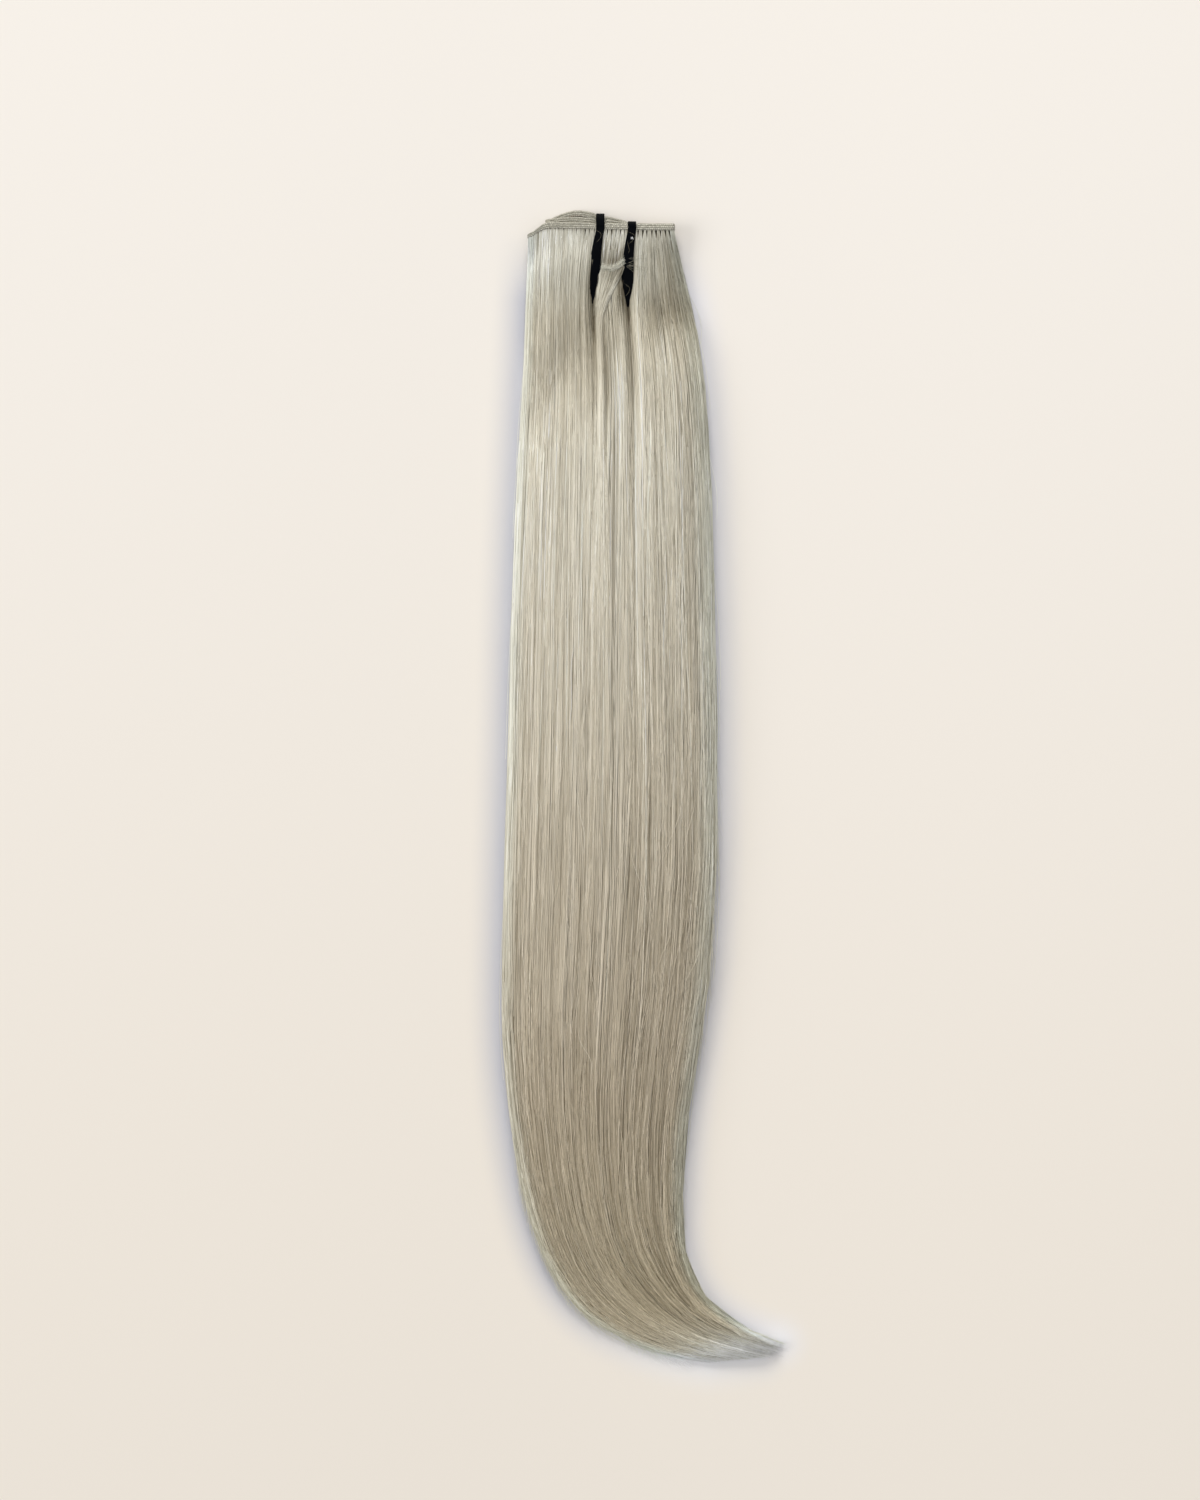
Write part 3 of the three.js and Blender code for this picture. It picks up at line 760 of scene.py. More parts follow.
def bake_tree(ob, tree, **values):
    """Runs a tree on a piece and keeps the result as a plain mesh."""
    modifier = ob.modifiers.new("shape", "NODES")
    modifier.node_group = tree
    for item in tree.interface.items_tree:
        if item.item_type == "SOCKET" and item.in_out == "INPUT" and item.name in values:
            modifier[item.identifier] = values[item.name]
    graph = bpy.context.evaluated_depsgraph_get()
    mesh = bpy.data.meshes.new_from_object(ob.evaluated_get(graph), depsgraph=graph)
    ob.modifiers.clear()
    bare, ob.data = ob.data, mesh
    bpy.data.meshes.remove(bare)
    return ob


def sweep_strands(name, places, girth, tint, thickness):
    """places is strands x points x 3 in mm; girth and tint go with each point."""
    count, points = places.shape[:2]
    start = (np.arange(count)[:, None] * points + np.arange(points - 1)[None, :]).reshape(-1)
    chains = np.stack([start, start + 1], axis=-1)
    ob = point_piece(name, places.reshape(-1, 3), chains, girth=girth, tint=tint)
    bake_tree(ob, SWEEP, Thickness=thickness * MM, Sides=STRAND_SIDES, Material=strand_mat)
    pieces.append((ob, "hair"))
    print(name, count, "strands", triangles(ob), "triangles")


print("strands have", STRAND_SIDES, "sides")

# %% [markdown]
# The tips of the fall are cut on a slant, and hair is never cut quite even. tip_run says how long the hair
# is across the fall, strand_ends gives every strand its own end near that, with many early ends along the
# outside of the curl, and taper thins a strand there. Points lie closer together where the hair bends.

# %% Lengths of the strands
STRAND_T = np.array([
    0, 2, 5, 10, 16, 23, 30, 37, 44, 51, 59, 70, 85, 107, 140, 190, 260, 330, 390, 430, 460, 483, 502, 518,
    532, 545, 558, 572, 586, 600,
]) / HAIR_LENGTH
TIP_BULGE = 9.0
EARLY_END, EARLY_SIDE, CUT_SPREAD, CUT_NOISE = 75, 0.3, 2.2, 0.6
TIP_TAPER, TIP_GIRTH, ROOT_TAPER, ROOT_GIRTH = 14, 0.28, 3, 0.75


def tip_run(u):
    """How long the hair is at u: a slanted cut, rounded on its outer side."""
    bulge = np.where(u < 0, 1 - u * u, (1 - np.clip(u, 0, 1)) ** 2)
    return HAIR_LENGTH - TIP_SKEW * u + TIP_BULGE * bulge


def strand_ends(u, rng):
    """Length of each strand: up to the cut, with many of the outer hairs ending early along the curl."""
    early = EARLY_END * rng.random(u.shape) ** 4 * np.clip(EARLY_SIDE - u, 0, 1)
    return tip_run(u) - early - rng.exponential(CUT_SPREAD, u.shape) + rng.normal(0, CUT_NOISE, u.shape)


def taper(run):
    share = run / run[:, -1:]
    at_tip = np.clip((1.0 - share) * TIP_TAPER + TIP_GIRTH, 0, 1)
    return at_tip * np.clip(run / ROOT_TAPER + ROOT_GIRTH, 0, 1)


def half_width(run):
    return np.interp(run, spine_s, spine_half)


print("the cut runs from", float(tip_run(np.array(-1.0))), "to", float(tip_run(np.array(1.0))), "mm")

# %% [markdown]
# Hair leaves the track in sewn tufts. On the left they touch, and towards the right gaps open between
# them. Below a tie's dive the hair on both sides closes over it. Both could be painted dark, but moving
# the strands themselves lets the light do it.

# %% Tufts at the root and hair over the ties
TUFT = 2.2 / spine_half[0]
TUFT_WIDE, TUFT_NARROW, TUFT_VARY, TUFT_NOISE = 0.62, 0.46, 0.16, 0.04
OPEN_ACROSS, NARROW_ACROSS, TUFT_BEAT = (-0.68, -0.15), (0.42, 0.5), 2.4
CLOSE_BY, CLOSE_REACH, CLOSE_LATER, CLOSE_RUN = 0.03, 0.1, 0.8, (65, 150)
CLOSE_BEFORE, CLOSE_AFTER = 12, 8


def tuft_place(root_u, rng):
    """Where strands leave the track, drawn together into tufts."""
    index = np.round(root_u / TUFT).astype(int)
    snug = mix(TUFT_WIDE, TUFT_NARROW, smooth_step(root_u, *NARROW_ACROSS))
    width = mix(1.0, snug + TUFT_VARY * np.sin(index * TUFT_BEAT), smooth_step(root_u, *OPEN_ACROSS))
    noise = rng.uniform(-TUFT_NOISE, TUFT_NOISE, len(root_u))
    return (index + (root_u / TUFT - index) * width + noise) * TUFT


def close_up(u, run):
    """Hair on both sides of a tie closes over it below the dive."""
    shut = smooth_step(run, TIE_DIVE - CLOSE_BEFORE, TIE_DIVE + CLOSE_AFTER)
    shut = shut + CLOSE_LATER * smooth_step(run, *CLOSE_RUN)
    for tie in (TIE_LEFT, TIE_RIGHT):
        away = u - tie
        u = u - np.sign(away) * CLOSE_BY * np.exp(-np.abs(np.abs(away) - CLOSE_BY) / CLOSE_REACH) * shut
    return u


print("tufts across the weft:", round(2 / TUFT))

# %% [markdown]
# Hair doesn't lie as even parallel lines. Strands gather in small clumps that wander, rise to the top for
# a hand's breadth and sink again. A particle system could clump them, but it wouldn't follow the tables.
# comb_strands places clumps across the weft, gives every strand an offset within its clump that narrows
# and widens, and starts it in a tuft. Some strands lie free of any clump.

# %% Combing
TURN = 2 * np.pi
BAND_CLUMPS, BAND_DEPTH, BAND_SHADE, BAND_WAVES = 3, 0.45, 0.05, (300, 700)
FREE_SHARE, FREE_SWAY, FREE_WAVES, FREE_DEPTH, FREE_SHADE = 0.16, 1.6, (50, 120), (-0.05, 0.6), 0.21
CLUMP_SWAY, CLUMP_WAVES, CLUMP_SHADE = (0.4, 1.4), (230, 520), 0.09
ROOT_SPREAD, STRAND_SPREAD, SPREAD_CHANGE, SPREAD_WAVES = 0.012, 0.62, 0.45, (150, 420)
SWAY_RUN, SWEEP_NEAR_RUN, SWEEP_FAR_RUN, LEAVE_RUN = (4, 70), (13, 48), (80, 190), (0.5, 6)
DEPTH_MIDDLE, DEPTH_SWING, DEPTH_WAVES, DEPTH_NOISE = 0.8, 0.6, (160, 420), 0.25
CLUMP_ROUND, CLUMP_ROUND_END, LIFT_RUN, DROP_RUN = 0.28, 2.5, (6, 18), (60, 130)
STRAND_SHADE, SHADE_GROWTH, SHADE_GROWTH_RUN = 0.18, 1.5, (300, 520)
RIPPLE, RIPPLE_RUN = 0.06, 31
ROAM, ROAM_WAVES, ROAM_RUN = (0.3, 1.7), (140, 380), (60, 170)


def comb_strands(rng, count, clumps, low, high, sweep):
    """Strands of one lock, from low to high across the weft: u, run, depth under the top, shade."""
    def each():
        return rng.uniform(0, 1, clumps)[owner][:, None]

    def wave(shortest, longest):
        return np.sin(TURN * (run / mix(shortest, longest, each()) + each()))

    heart = np.sort(low + (high - low) * (np.arange(clumps) + rng.uniform(0.1, 0.9, clumps)) / clumps)
    band = np.arange(clumps) // BAND_CLUMPS
    band_depth = rng.uniform(-BAND_DEPTH, BAND_DEPTH, clumps)[band]
    band_shade = rng.normal(0, BAND_SHADE, clumps)[band]
    owner = rng.integers(0, clumps, count)
    free = rng.random(count) < FREE_SHARE
    root_u = np.clip(heart[owner] + rng.normal(0, ROOT_SPREAD, count), low, high)
    root_u = np.where(free, rng.uniform(low, high, count), root_u)
    run = STRAND_T[None, :] * strand_ends(root_u, rng)[:, None]
    spot = rng.normal(0, STRAND_SPREAD, count)[:, None]
    sway = mix(*CLUMP_SWAY, each()) * wave(*CLUMP_WAVES) + spot * (1 + SPREAD_CHANGE * wave(*SPREAD_WAVES))
    own = run / rng.uniform(*FREE_WAVES, count)[:, None] + TURN * rng.random(count)[:, None]
    sway = np.where(free[:, None], FREE_SWAY * np.sin(own), sway)
    near, far, lift = root_u, root_u, np.zeros(count)
    if sweep:
        near, far, lift = sweep(root_u, rng.random(clumps)[owner])
    drawn = (near - root_u)[:, None] * smooth_step(run, *SWEEP_NEAR_RUN)
    drawn = drawn + (far - near)[:, None] * smooth_step(run, *SWEEP_FAR_RUN)
    u = root_u[:, None] + drawn + sway / half_width(run) * smooth_step(run, *SWAY_RUN)
    u = mix(tuft_place(root_u, rng)[:, None], close_up(u, run), smooth_step(run, *LEAVE_RUN))
    depth = DEPTH_MIDDLE + DEPTH_SWING * wave(*DEPTH_WAVES)
    depth = depth + CLUMP_ROUND * np.minimum(spot**2, CLUMP_ROUND_END)
    depth = depth + rng.uniform(0, DEPTH_NOISE, count)[:, None]
    depth = depth + band_depth[owner][:, None] * wave(*BAND_WAVES)
    depth = np.where(free[:, None], rng.uniform(*FREE_DEPTH, count)[:, None], depth)
    depth = depth - lift[:, None] * smooth_step(run, *LIFT_RUN) * (1 - smooth_step(run, *DROP_RUN))
    shade = (band_shade + rng.normal(0, CLUMP_SHADE, clumps))[owner] + rng.normal(0, STRAND_SHADE, count)
    shade = np.where(free, rng.normal(0, FREE_SHADE, count), shade)[:, None]
    shade = 1 + shade * mix(1, SHADE_GROWTH, smooth_step(run, *SHADE_GROWTH_RUN))
    shade = shade * (1 + RIPPLE * np.sin(run / RIPPLE_RUN + TURN * rng.random(count)[:, None]))
    roam = mix(*ROAM, each()) * wave(*ROAM_WAVES) * smooth_step(run, *ROAM_RUN)
    return u + np.where(free[:, None], 0, roam) / half_width(run), run, depth, shade


print("clumps in a band:", BAND_CLUMPS, "free strands:", FREE_SHARE)

# %% [markdown]
# The combed strands are laid on the top of the fall, a little under it by their depth, and they rise there
# from the middle of the track. At the tips some sink towards the table, so that the cut is rounded.

# %% Locks on the top
STRAND_THICK, FEATHER, RISE_RUN, LOWEST = 0.27, 5.0, (0.5, 15), 0.25
TIP_SINK, TIP_SINK_RUN = 0.9, 40.0
PLAN_EDGE, TOP_EDGE, TUCK_RUN, TOP_TUCK, ROOT_TUCK = 0.985, 0.995, 3, 0.5, 0.9
SWEPT_NEAR, SWEPT_FAR, SWEPT_LIFT, SWEPT_SHARE = (0.005, 0.096), (-0.04, 0.17), 0.75, 0.5
KEPT_NEAR, KEPT_FAR, KEPT_LIFT = (0.124, 0.395), (0.06, 0.44), -0.35


def tucked(run, tuck):
    """How far the start of a strand reaches up under the track."""
    return tuck * (1 - smooth_step(run, 0, TUCK_RUN))


def lay_on_top(u, run, depth, rng):
    x, y = place_on_layer(0, np.clip(u, -PLAN_EDGE, PLAN_EDGE), run)
    root_z = layer_z(0) + rng.uniform(-0.45, 0.5, len(u))[:, None]
    sunk = TIP_SINK * rng.random((len(u), 1)) ** 4 * smooth_step(tip_run(u) - run, TIP_SINK_RUN, 0)
    top = (body_thick(np.clip(u, -TOP_EDGE, TOP_EDGE), run) - depth) * (1 - sunk)
    z = mix(root_z, np.maximum(top, LOWEST), smooth_step(run, *RISE_RUN))
    return np.stack([x, y + tucked(run, TOP_TUCK), z], axis=-1)


def part_middle(root_u, draw):
    """Half of the middle clumps sweep to the left over the others, which keep to the right."""
    rank = (root_u - root_u.min()) / (root_u.max() - root_u.min())
    swept = draw < SWEPT_SHARE
    near = np.where(swept, mix(*SWEPT_NEAR, rank), mix(*KEPT_NEAR, rank))
    far = np.where(swept, mix(*SWEPT_FAR, rank), mix(*KEPT_FAR, rank))
    return near, far, np.where(swept, SWEPT_LIFT, KEPT_LIFT)


LOCKS = [
    # name, from, to, strands, clumps, sweep
    ("left_outer", -1.0, -0.5, 940, 39, None),
    ("left_inner", -0.5, TIE_LEFT - 0.03, 940, 39, None),
    ("middle", TIE_LEFT + 0.03, TIE_RIGHT - 0.03, 880, 36, part_middle),
    ("right", TIE_RIGHT + 0.03, 1.0, 1040, 45, None),
]
for number, (name, low, high, count, clumps, sweep) in enumerate(LOCKS):
    rng = np.random.default_rng(100 + number)
    u, run, depth, shade = comb_strands(rng, count, clumps, low, high, sweep)
    places = lay_on_top(u, run, depth, rng)
    tint = hair_tint(u, run, shade, rng.normal(0, FEATHER, (count, 1)))
    sweep_strands(f"hair_{name}", places, taper(run), tint, STRAND_THICK)

# %% [markdown]
# The sides and the underside need strands too, because the bundle is seen from all round. The filling
# alone would look like a cut block there. Strands at the sides are spread over the height of the edge,
# and those below, which are thicker and have fewer points, lie just above the table.

# %% Sides and underside
SIDE_COUNT, SIDE_BAND, SIDE_SWAY, SIDE_SHARE = 260, 0.07, 0.7, (0.04, 0.97)
UNDER_COUNT, UNDER_SWAY, UNDER_Z, UNDER_ROOT, UNDER_THICK = 460, 1.2, (0.2, 0.6), -0.4, 0.36
EDGE_WAVES, EDGE_SWAY_RUN, SIDE_TONE = (40, 130), (5, 60), 0.12


def swaying(rng, root, steps, amount):
    """u and run of strands that sway a little round a straight course."""
    run = steps[None, :] * strand_ends(root, rng)[:, None]
    phase = run / rng.uniform(*EDGE_WAVES, len(root))[:, None] + TURN * rng.random(len(root))[:, None]
    sway = amount * np.sin(phase)
    return root[:, None] + sway / half_width(run) * smooth_step(run, *EDGE_SWAY_RUN), run


def side_strands(rng, count, side):
    root = side * (1 - SIDE_BAND * rng.random(count) ** 1.5)
    u, run = swaying(rng, root, STRAND_T, SIDE_SWAY)
    level = rng.integers(0, len(FOLDS), count)
    share = np.clip((len(FOLDS) - 1 - level + rng.random(count)) / len(FOLDS), *SIDE_SHARE)[:, None]
    places = np.zeros(u.shape + (3,))
    for k in range(len(FOLDS)):
        mine = level == k
        inside, far = np.clip(u[mine], -TOP_EDGE, TOP_EDGE), run[mine]
        x, y = place_on_layer(k, inside, far)
        root_z = layer_z(k) + rng.uniform(-0.5, 0.5, mine.sum())[:, None]
        z = mix(root_z, body_thick(inside, far) * share[mine], smooth_step(far, 0, ROOT_RUN))
        places[mine] = np.stack([x, y + tucked(far, ROOT_TUCK), np.maximum(z, LOWEST)], axis=-1)
    return places, u, run, 1 + rng.normal(0, SIDE_TONE, count)[:, None]


def under_strands(rng, count):
    u, run = swaying(rng, rng.uniform(-1, 1, count), STRAND_T[::2], UNDER_SWAY)
    x, y = place_on_layer(len(FOLDS) - 1, np.clip(u, -1, 1), run)
    root_z = layer_z(len(FOLDS) - 1) + UNDER_ROOT
    z = mix(root_z, rng.uniform(*UNDER_Z, count)[:, None], smooth_step(run, 0, ROOT_RUN))
    places = np.stack([x, y + tucked(run, ROOT_TUCK), z], axis=-1)
    return places, u, run, 1 + rng.normal(0, SIDE_TONE, count)[:, None]


rng = np.random.default_rng(211)
for name, side in (("left_side", -1), ("right_side", 1)):
    places, u, run, shade = side_strands(rng, SIDE_COUNT, side)
    sweep_strands(f"hair_{name}", places, taper(run), hair_tint(u, run, shade), STRAND_THICK)
places, u, run, shade = under_strands(rng, UNDER_COUNT)
sweep_strands("hair_underside", places, taper(run), hair_tint(u, run, shade), UNDER_THICK)

# %% [markdown]
# Behind the front layer the strip arches up, and the roots of the layers under it show for a few
# millimetres below their own tracks. Whole strands would be wasted, because the fall hides them, so short
# ones that end inside it are enough.

# %% Roots of the layers behind
ROOT_T = np.array([0, 2.5, 6, 11, 18, 28, 40])
ROOT_COUNT, ROOT_THICK, ROOT_TRIM, ROOT_Z = 360, 0.3, 0.3, (0.1, 1.15)
ROOT_TONE, ROOT_TONE_SPREAD = 0.85, 0.1


def layer_roots(rng, count, level):
    run = np.repeat(ROOT_T[None, :], count, axis=0)
    u = np.repeat(rng.uniform(-1, 1, count)[:, None], len(ROOT_T), axis=1)
    x, y = place_on_layer(level, u, run)
    low, high = layer_heights(level, u, run, ROOT_TRIM)
    z = mix(low, high, rng.uniform(*ROOT_Z, count)[:, None])
    places = np.stack([x, y + tucked(run, ROOT_TUCK), z], axis=-1)
    return places, u, run, ROOT_TONE + rng.normal(0, ROOT_TONE_SPREAD, count)[:, None]


rng = np.random.default_rng(307)
for level in (1, 2, 3):
    places, u, run, shade = layer_roots(rng, ROOT_COUNT, level)
    name = f"hair_roots_{FOLDS[level]['name']}"
    sweep_strands(name, places, np.ones_like(run), hair_tint(u, run, shade), ROOT_THICK)

# %% [markdown]
# The track is the sewn head of the weft, one strip with three ribs. Four straight strips would be simpler,
# but they would miss the folds at the ends. So it is lofted along one path: along each layer, round
# a tight turn at its end, and back along the next. At the left end, where the fold leans away, and under
# the ties it is pressed lower.

# %% The sewn track
TRACK_DROP, TRACK_WOBBLE, WOBBLE_BEAT, SLOPE_STEP = 0.8, 0.05, 1.9, 0.2
RIB_PROFILE = np.array([
    # share of the height, half thickness
    (0, 0.34), (0.05, 0.42), (0.1, 0.44), (0.16, 0.6), (0.24, 0.7), (0.32, 0.6), (0.38, 0.36), (0.44, 0.6),
    (0.53, 0.7), (0.62, 0.6), (0.68, 0.36), (0.74, 0.6), (0.82, 0.7), (0.9, 0.64), (0.96, 0.5), (1, 0.3),
])
END_DRAWN_IN, END_DRAWN_FROM, END_HEIGHT, END_LOW_FROM = 1.7, (26, 37), 0.6, (25, 36)
TIE_PRESS, PRESS_HALF_WIDTH = 0.3, 2.7
TIE_HEAD_X = [FALL_START_X + across * spine_half[0] for across in (TIE_LEFT, TIE_RIGHT)]


def end_tuck(x):
    """How far the folded left end is drawn in, and how much of the height is left there and under a tie."""
    pressed = sum(np.exp(-((x - tie_x) / PRESS_HALF_WIDTH) ** 4) for tie_x in TIE_HEAD_X)
    height = mix(1, END_HEIGHT, smooth_step(-x, *END_LOW_FROM)) * (1 - TIE_PRESS * pressed)
    return END_DRAWN_IN * smooth_step(-x, *END_DRAWN_FROM), height


def track_path(per_layer, per_turn):
    """Rows of x, y, z and the way along the strip in x and z."""
    rows, radius = [], LAYER_PITCH / 2
    for level, fold in enumerate(FOLDS):
        side = -1 if level % 2 == 0 else 1
        start, end = (fold["right"], fold["left"]) if side < 0 else (fold["left"], fold["right"])
        for x in np.linspace(start, end, per_layer):
            rows.append((x, float(rise(fold, x)), layer_z(level), side, 0.0))
        if level == len(FOLDS) - 1:
            break
        slope = float(rise(fold, end) - rise(fold, end - side * SLOPE_STEP)) / SLOPE_STEP
        for angle in np.linspace(0, np.pi, per_turn + 2)[1:-1]:
            past = radius * math.sin(angle)
            x, y = end + side * past, float(rise(fold, end)) + slope * past
            z = layer_z(level) - radius + radius * math.cos(angle)
            rows.append((x, y, z, side * math.cos(angle), -math.sin(angle)))
    return np.array(rows)


path = track_path(64, 9)
at = mix(-TRACK_DROP, TRACK_HEIGHT, np.concatenate([RIB_PROFILE[:, 0], RIB_PROFILE[::-1, 0]]))
out = np.concatenate([RIB_PROFILE[:, 1], -RIB_PROFILE[::-1, 1]])
wobble = TRACK_WOBBLE * np.sin(np.arange(len(path)) * WOBBLE_BEAT)[:, None]
tuck, facing = (v[:, None] for v in end_tuck(path[:, 0]))
ring = np.stack([path[:, :1] + tuck - path[:, 4:5] * out, path[:, 1:2] + at * facing + wobble,
                 path[:, 2:3] + path[:, 3:4] * out], axis=-1)
faces = loft_faces(*ring.shape[:2])
steps = np.concatenate([[0], np.cumsum(np.linalg.norm(np.diff(path[:, :3], axis=0), axis=1))])
lay = np.stack(np.broadcast_arrays(steps[:, None], at[None, :]), axis=-1).reshape(-1, 2)
strip = face_out(new_piece("weft_strip", ring, faces, track_mat, lay[faces.reshape(-1)]))
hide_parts("weft_track")
pieces.append((strip, "track"))
print(strip.name, "is", round(float(steps[-1])), "mm long when unfolded")

# %% [markdown]
# Three rows of machine stitches run along the ribs. They could be a bump in the material, but they catch
# the light along the whole head, so they are real. A Geometry Nodes tree sets one small bead of thread on
# every point of a row, stretched along the strip, with a random length from a fixed seed.

# %% The tree that sets stitches
STITCHES = new_tree(
    "set_stitches", "GeometryNodeTree",
    [("Geometry", "Geometry"), ("Float", "Length"), ("Float", "Width"), ("Int", "Seed"),
     ("Material", "Material")],
    [("Geometry", "Geometry")])
fill_tree(STITCHES, {
    **GROUP_ENDS,
    "bead": ("GeometryNodeMeshIcoSphere", {}, {"Radius": 0.5, "Subdivisions": 1}),
    "along": ("GeometryNodeInputNamedAttribute", {"data_type": "FLOAT_VECTOR"}, {"Name": "along"}),
    "up": ("GeometryNodeInputNamedAttribute", {"data_type": "FLOAT_VECTOR"}, {"Name": "up"}),
    "turn": ("FunctionNodeAxesToRotation", {"primary_axis": "X", "secondary_axis": "Z"}, {}),
    "vary": ("FunctionNodeRandomValue", {"data_type": "FLOAT"}, {"Min": 0.8, "Max": 1.15}),
    "stretch": ("ShaderNodeMath", {"operation": "MULTIPLY"}, {}),
    "size": ("ShaderNodeCombineXYZ", {}, {}),
    "put": ("GeometryNodeInstanceOnPoints", {}, {}),
    "real": ("GeometryNodeRealizeInstances", {}, {}),
    "smooth": ("GeometryNodeSetShadeSmooth", {}, {}),
    "paint": ("GeometryNodeSetMaterial", {}, {}),
}, [
    ("in", "Geometry", "put", "Points"), ("bead", "Mesh", "smooth", "Geometry"),
    ("smooth", "Geometry", "put", "Instance"),
    ("along", "Attribute", "turn", "Primary Axis"), ("up", "Attribute", "turn", "Secondary Axis"),
    ("turn", "Rotation", "put", "Rotation"), ("in", "Seed", "vary", "Seed"),
    ("in", "Length", "stretch", 0), ("vary", "Value", "stretch", 1),
    ("stretch", 0, "size", "X"), ("in", "Width", "size", "Y"), ("in", "Width", "size", "Z"),
    ("size", 0, "put", "Scale"), ("put", "Instances", "real", "Geometry"),
    ("real", "Geometry", "paint", "Geometry"), ("in", "Material", "paint", "Material"),
    ("paint", "Geometry", "out", "Geometry"),
])
print("tree:", STITCHES.name, [item.name for item in STITCHES.interface.items_tree])

# %% [markdown]
# The stitches follow the rise of each layer, on both of its faces, and the middle row is set between the
# others. The thread is the colour of the hair and uneven from stitch to stitch, the layers behind are
# painted darker as shade, and a short stretch of one row on the back layer is brown.

# %% Stitches on the track
STITCH_ROWS = (0.24, 0.53, 0.82)
STITCH_PITCH, STITCH_MARGIN, STITCH_LEAN, STITCH_SEED = 0.98, 0.5, 0.2, 5
STITCH_LENGTH, STITCH_WIDTH, STITCH_OUT = 0.8, 0.45, 0.62
THREAD = np.array([0.76, 0.745, 0.645])
# how much darker each layer behind is painted, as shade
THREAD_SPREAD, THREAD_LEFT, THREAD_LEFT_X, LAYER_SHADOW = (0.55, 1.35), 0.76, (-15, 20), 0.06
BROWN_THREAD, BROWN_LAYER, BROWN_ROW = (0.17, 0.115, 0.08), 3, 0
BROWN_FROM, BROWN_TO = -19.5, -8.5


def stitch_row(level, row, face, rng):
    """Places, directions and colours of the stitches of one row on one face of a layer."""
    fold = FOLDS[level]
    x = np.arange(fold["left"] + STITCH_MARGIN, fold["right"] - STITCH_MARGIN, STITCH_PITCH)
    x = x + 0.5 * STITCH_PITCH * (row == 1)
    slope = (rise(fold, x + SLOPE_STEP) - rise(fold, x - SLOPE_STEP)) / (2 * SLOPE_STEP)
    tuck, facing = end_tuck(x)
    y = rise(fold, x) + mix(-TRACK_DROP, TRACK_HEIGHT, STITCH_ROWS[row]) * facing
    spots = np.stack([x + tuck, y, np.full_like(x, layer_z(level) + face * STITCH_OUT)], axis=-1)
    along = np.stack([np.ones_like(x), slope + STITCH_LEAN, np.zeros_like(x)], axis=-1)
    up = np.repeat([[0.0, 0.0, face]], len(x), axis=0)
    # painted shade: the layers behind are darker
    lit = (1 - LAYER_SHADOW * level) * mix(THREAD_LEFT, 1, smooth_step(x, *THREAD_LEFT_X))
    lit = lit * rng.uniform(*THREAD_SPREAD, len(x))
    colour = np.ones((len(x), 4))
    colour[:, :3] = THREAD * lit[:, None]
    if level == BROWN_LAYER and row == BROWN_ROW:
        colour[(x > BROWN_FROM) & (x < BROWN_TO), :3] = BROWN_THREAD
    return spots, along, up, colour


rng = np.random.default_rng(419)
rows = [stitch_row(level, row, face, rng)
        for level in range(len(FOLDS)) for row in range(len(STITCH_ROWS)) for face in (1, -1)]
spots, along, up, tint = (np.concatenate(part) for part in zip(*rows))
stitches = point_piece("track_stitches", spots, along=along, up=up, tint=tint)
bake_tree(stitches, STITCHES, Length=STITCH_LENGTH * MM, Width=STITCH_WIDTH * MM, Seed=STITCH_SEED,
          Material=stitch_mat)
pieces.append((stitches, "track"))
print(len(spots), "stitches,", len(stitches.data.polygons), "faces")

# %% [markdown]
# The ties are flat woven elastic. Each is a closed loop: up the front of the hair, over the folded
# track, back along the table, and up through the hair at the dive. A straight band on the top would do
# for one view, but not from behind. The route goes through the same points as the model's, joined by
# a rounded curve that stays close to them.

# %% Route of a tie
TIE_ON_HAIR, TIE_AT_HEAD, TIE_ROOT_GAP, TIE_STEPS = 0.9, 0.55, 0.6, 10
TIE_BOW = {31: 0.1, 22: 0.55, 12: 0.75, 4: 0.4}
TIE_BACK_RUNS, TIE_RISE_SHARES = (4, 16, 30), (0.2, 0.5, 0.8)


def rounded_path(points, per_span, closed):
    """A centripetal Catmull-Rom curve through the points."""
    p = np.asarray(points, float)
    if not closed:
        p = np.concatenate([[2 * p[0] - p[1]], p, [2 * p[-1] - p[-2]]])
    out = []
    for i in range(0 if closed else 1, len(p) if closed else len(p) - 2):
        a, b, c, d = p[i - 1], p[i], p[(i + 1) % len(p)], p[(i + 2) % len(p)]
        t1 = np.linalg.norm(b - a) ** 0.5
        t2 = t1 + np.linalg.norm(c - b) ** 0.5
        t3 = t2 + np.linalg.norm(d - c) ** 0.5
        for t in np.linspace(t1, t2, per_span, endpoint=False):
            e, f, g = mix(a, b, t / t1), mix(b, c, (t - t1) / (t2 - t1)), mix(c, d, (t - t2) / (t3 - t2))
            before, after = mix(e, f, t / t2), mix(f, g, (t - t1) / (t3 - t1))
            out.append(mix(before, after, (t - t1) / (t2 - t1)))
    if not closed:
        out.append(p[-2])
    return np.array(out)


def on_front(u, run):
    """A point of the front layer's top, as x, y, z."""
    u, run = np.array([u], float), np.array([run], float)
    x, y = place_on_layer(0, u, run, TIE_ROOT_GAP)
    top = mix(layer_z(0) + TRACK_THICK / 2, body_thick(u, run), smooth_step(run, 0, ROOT_RUN))
    return np.array([x[0], y[0], top[0]])


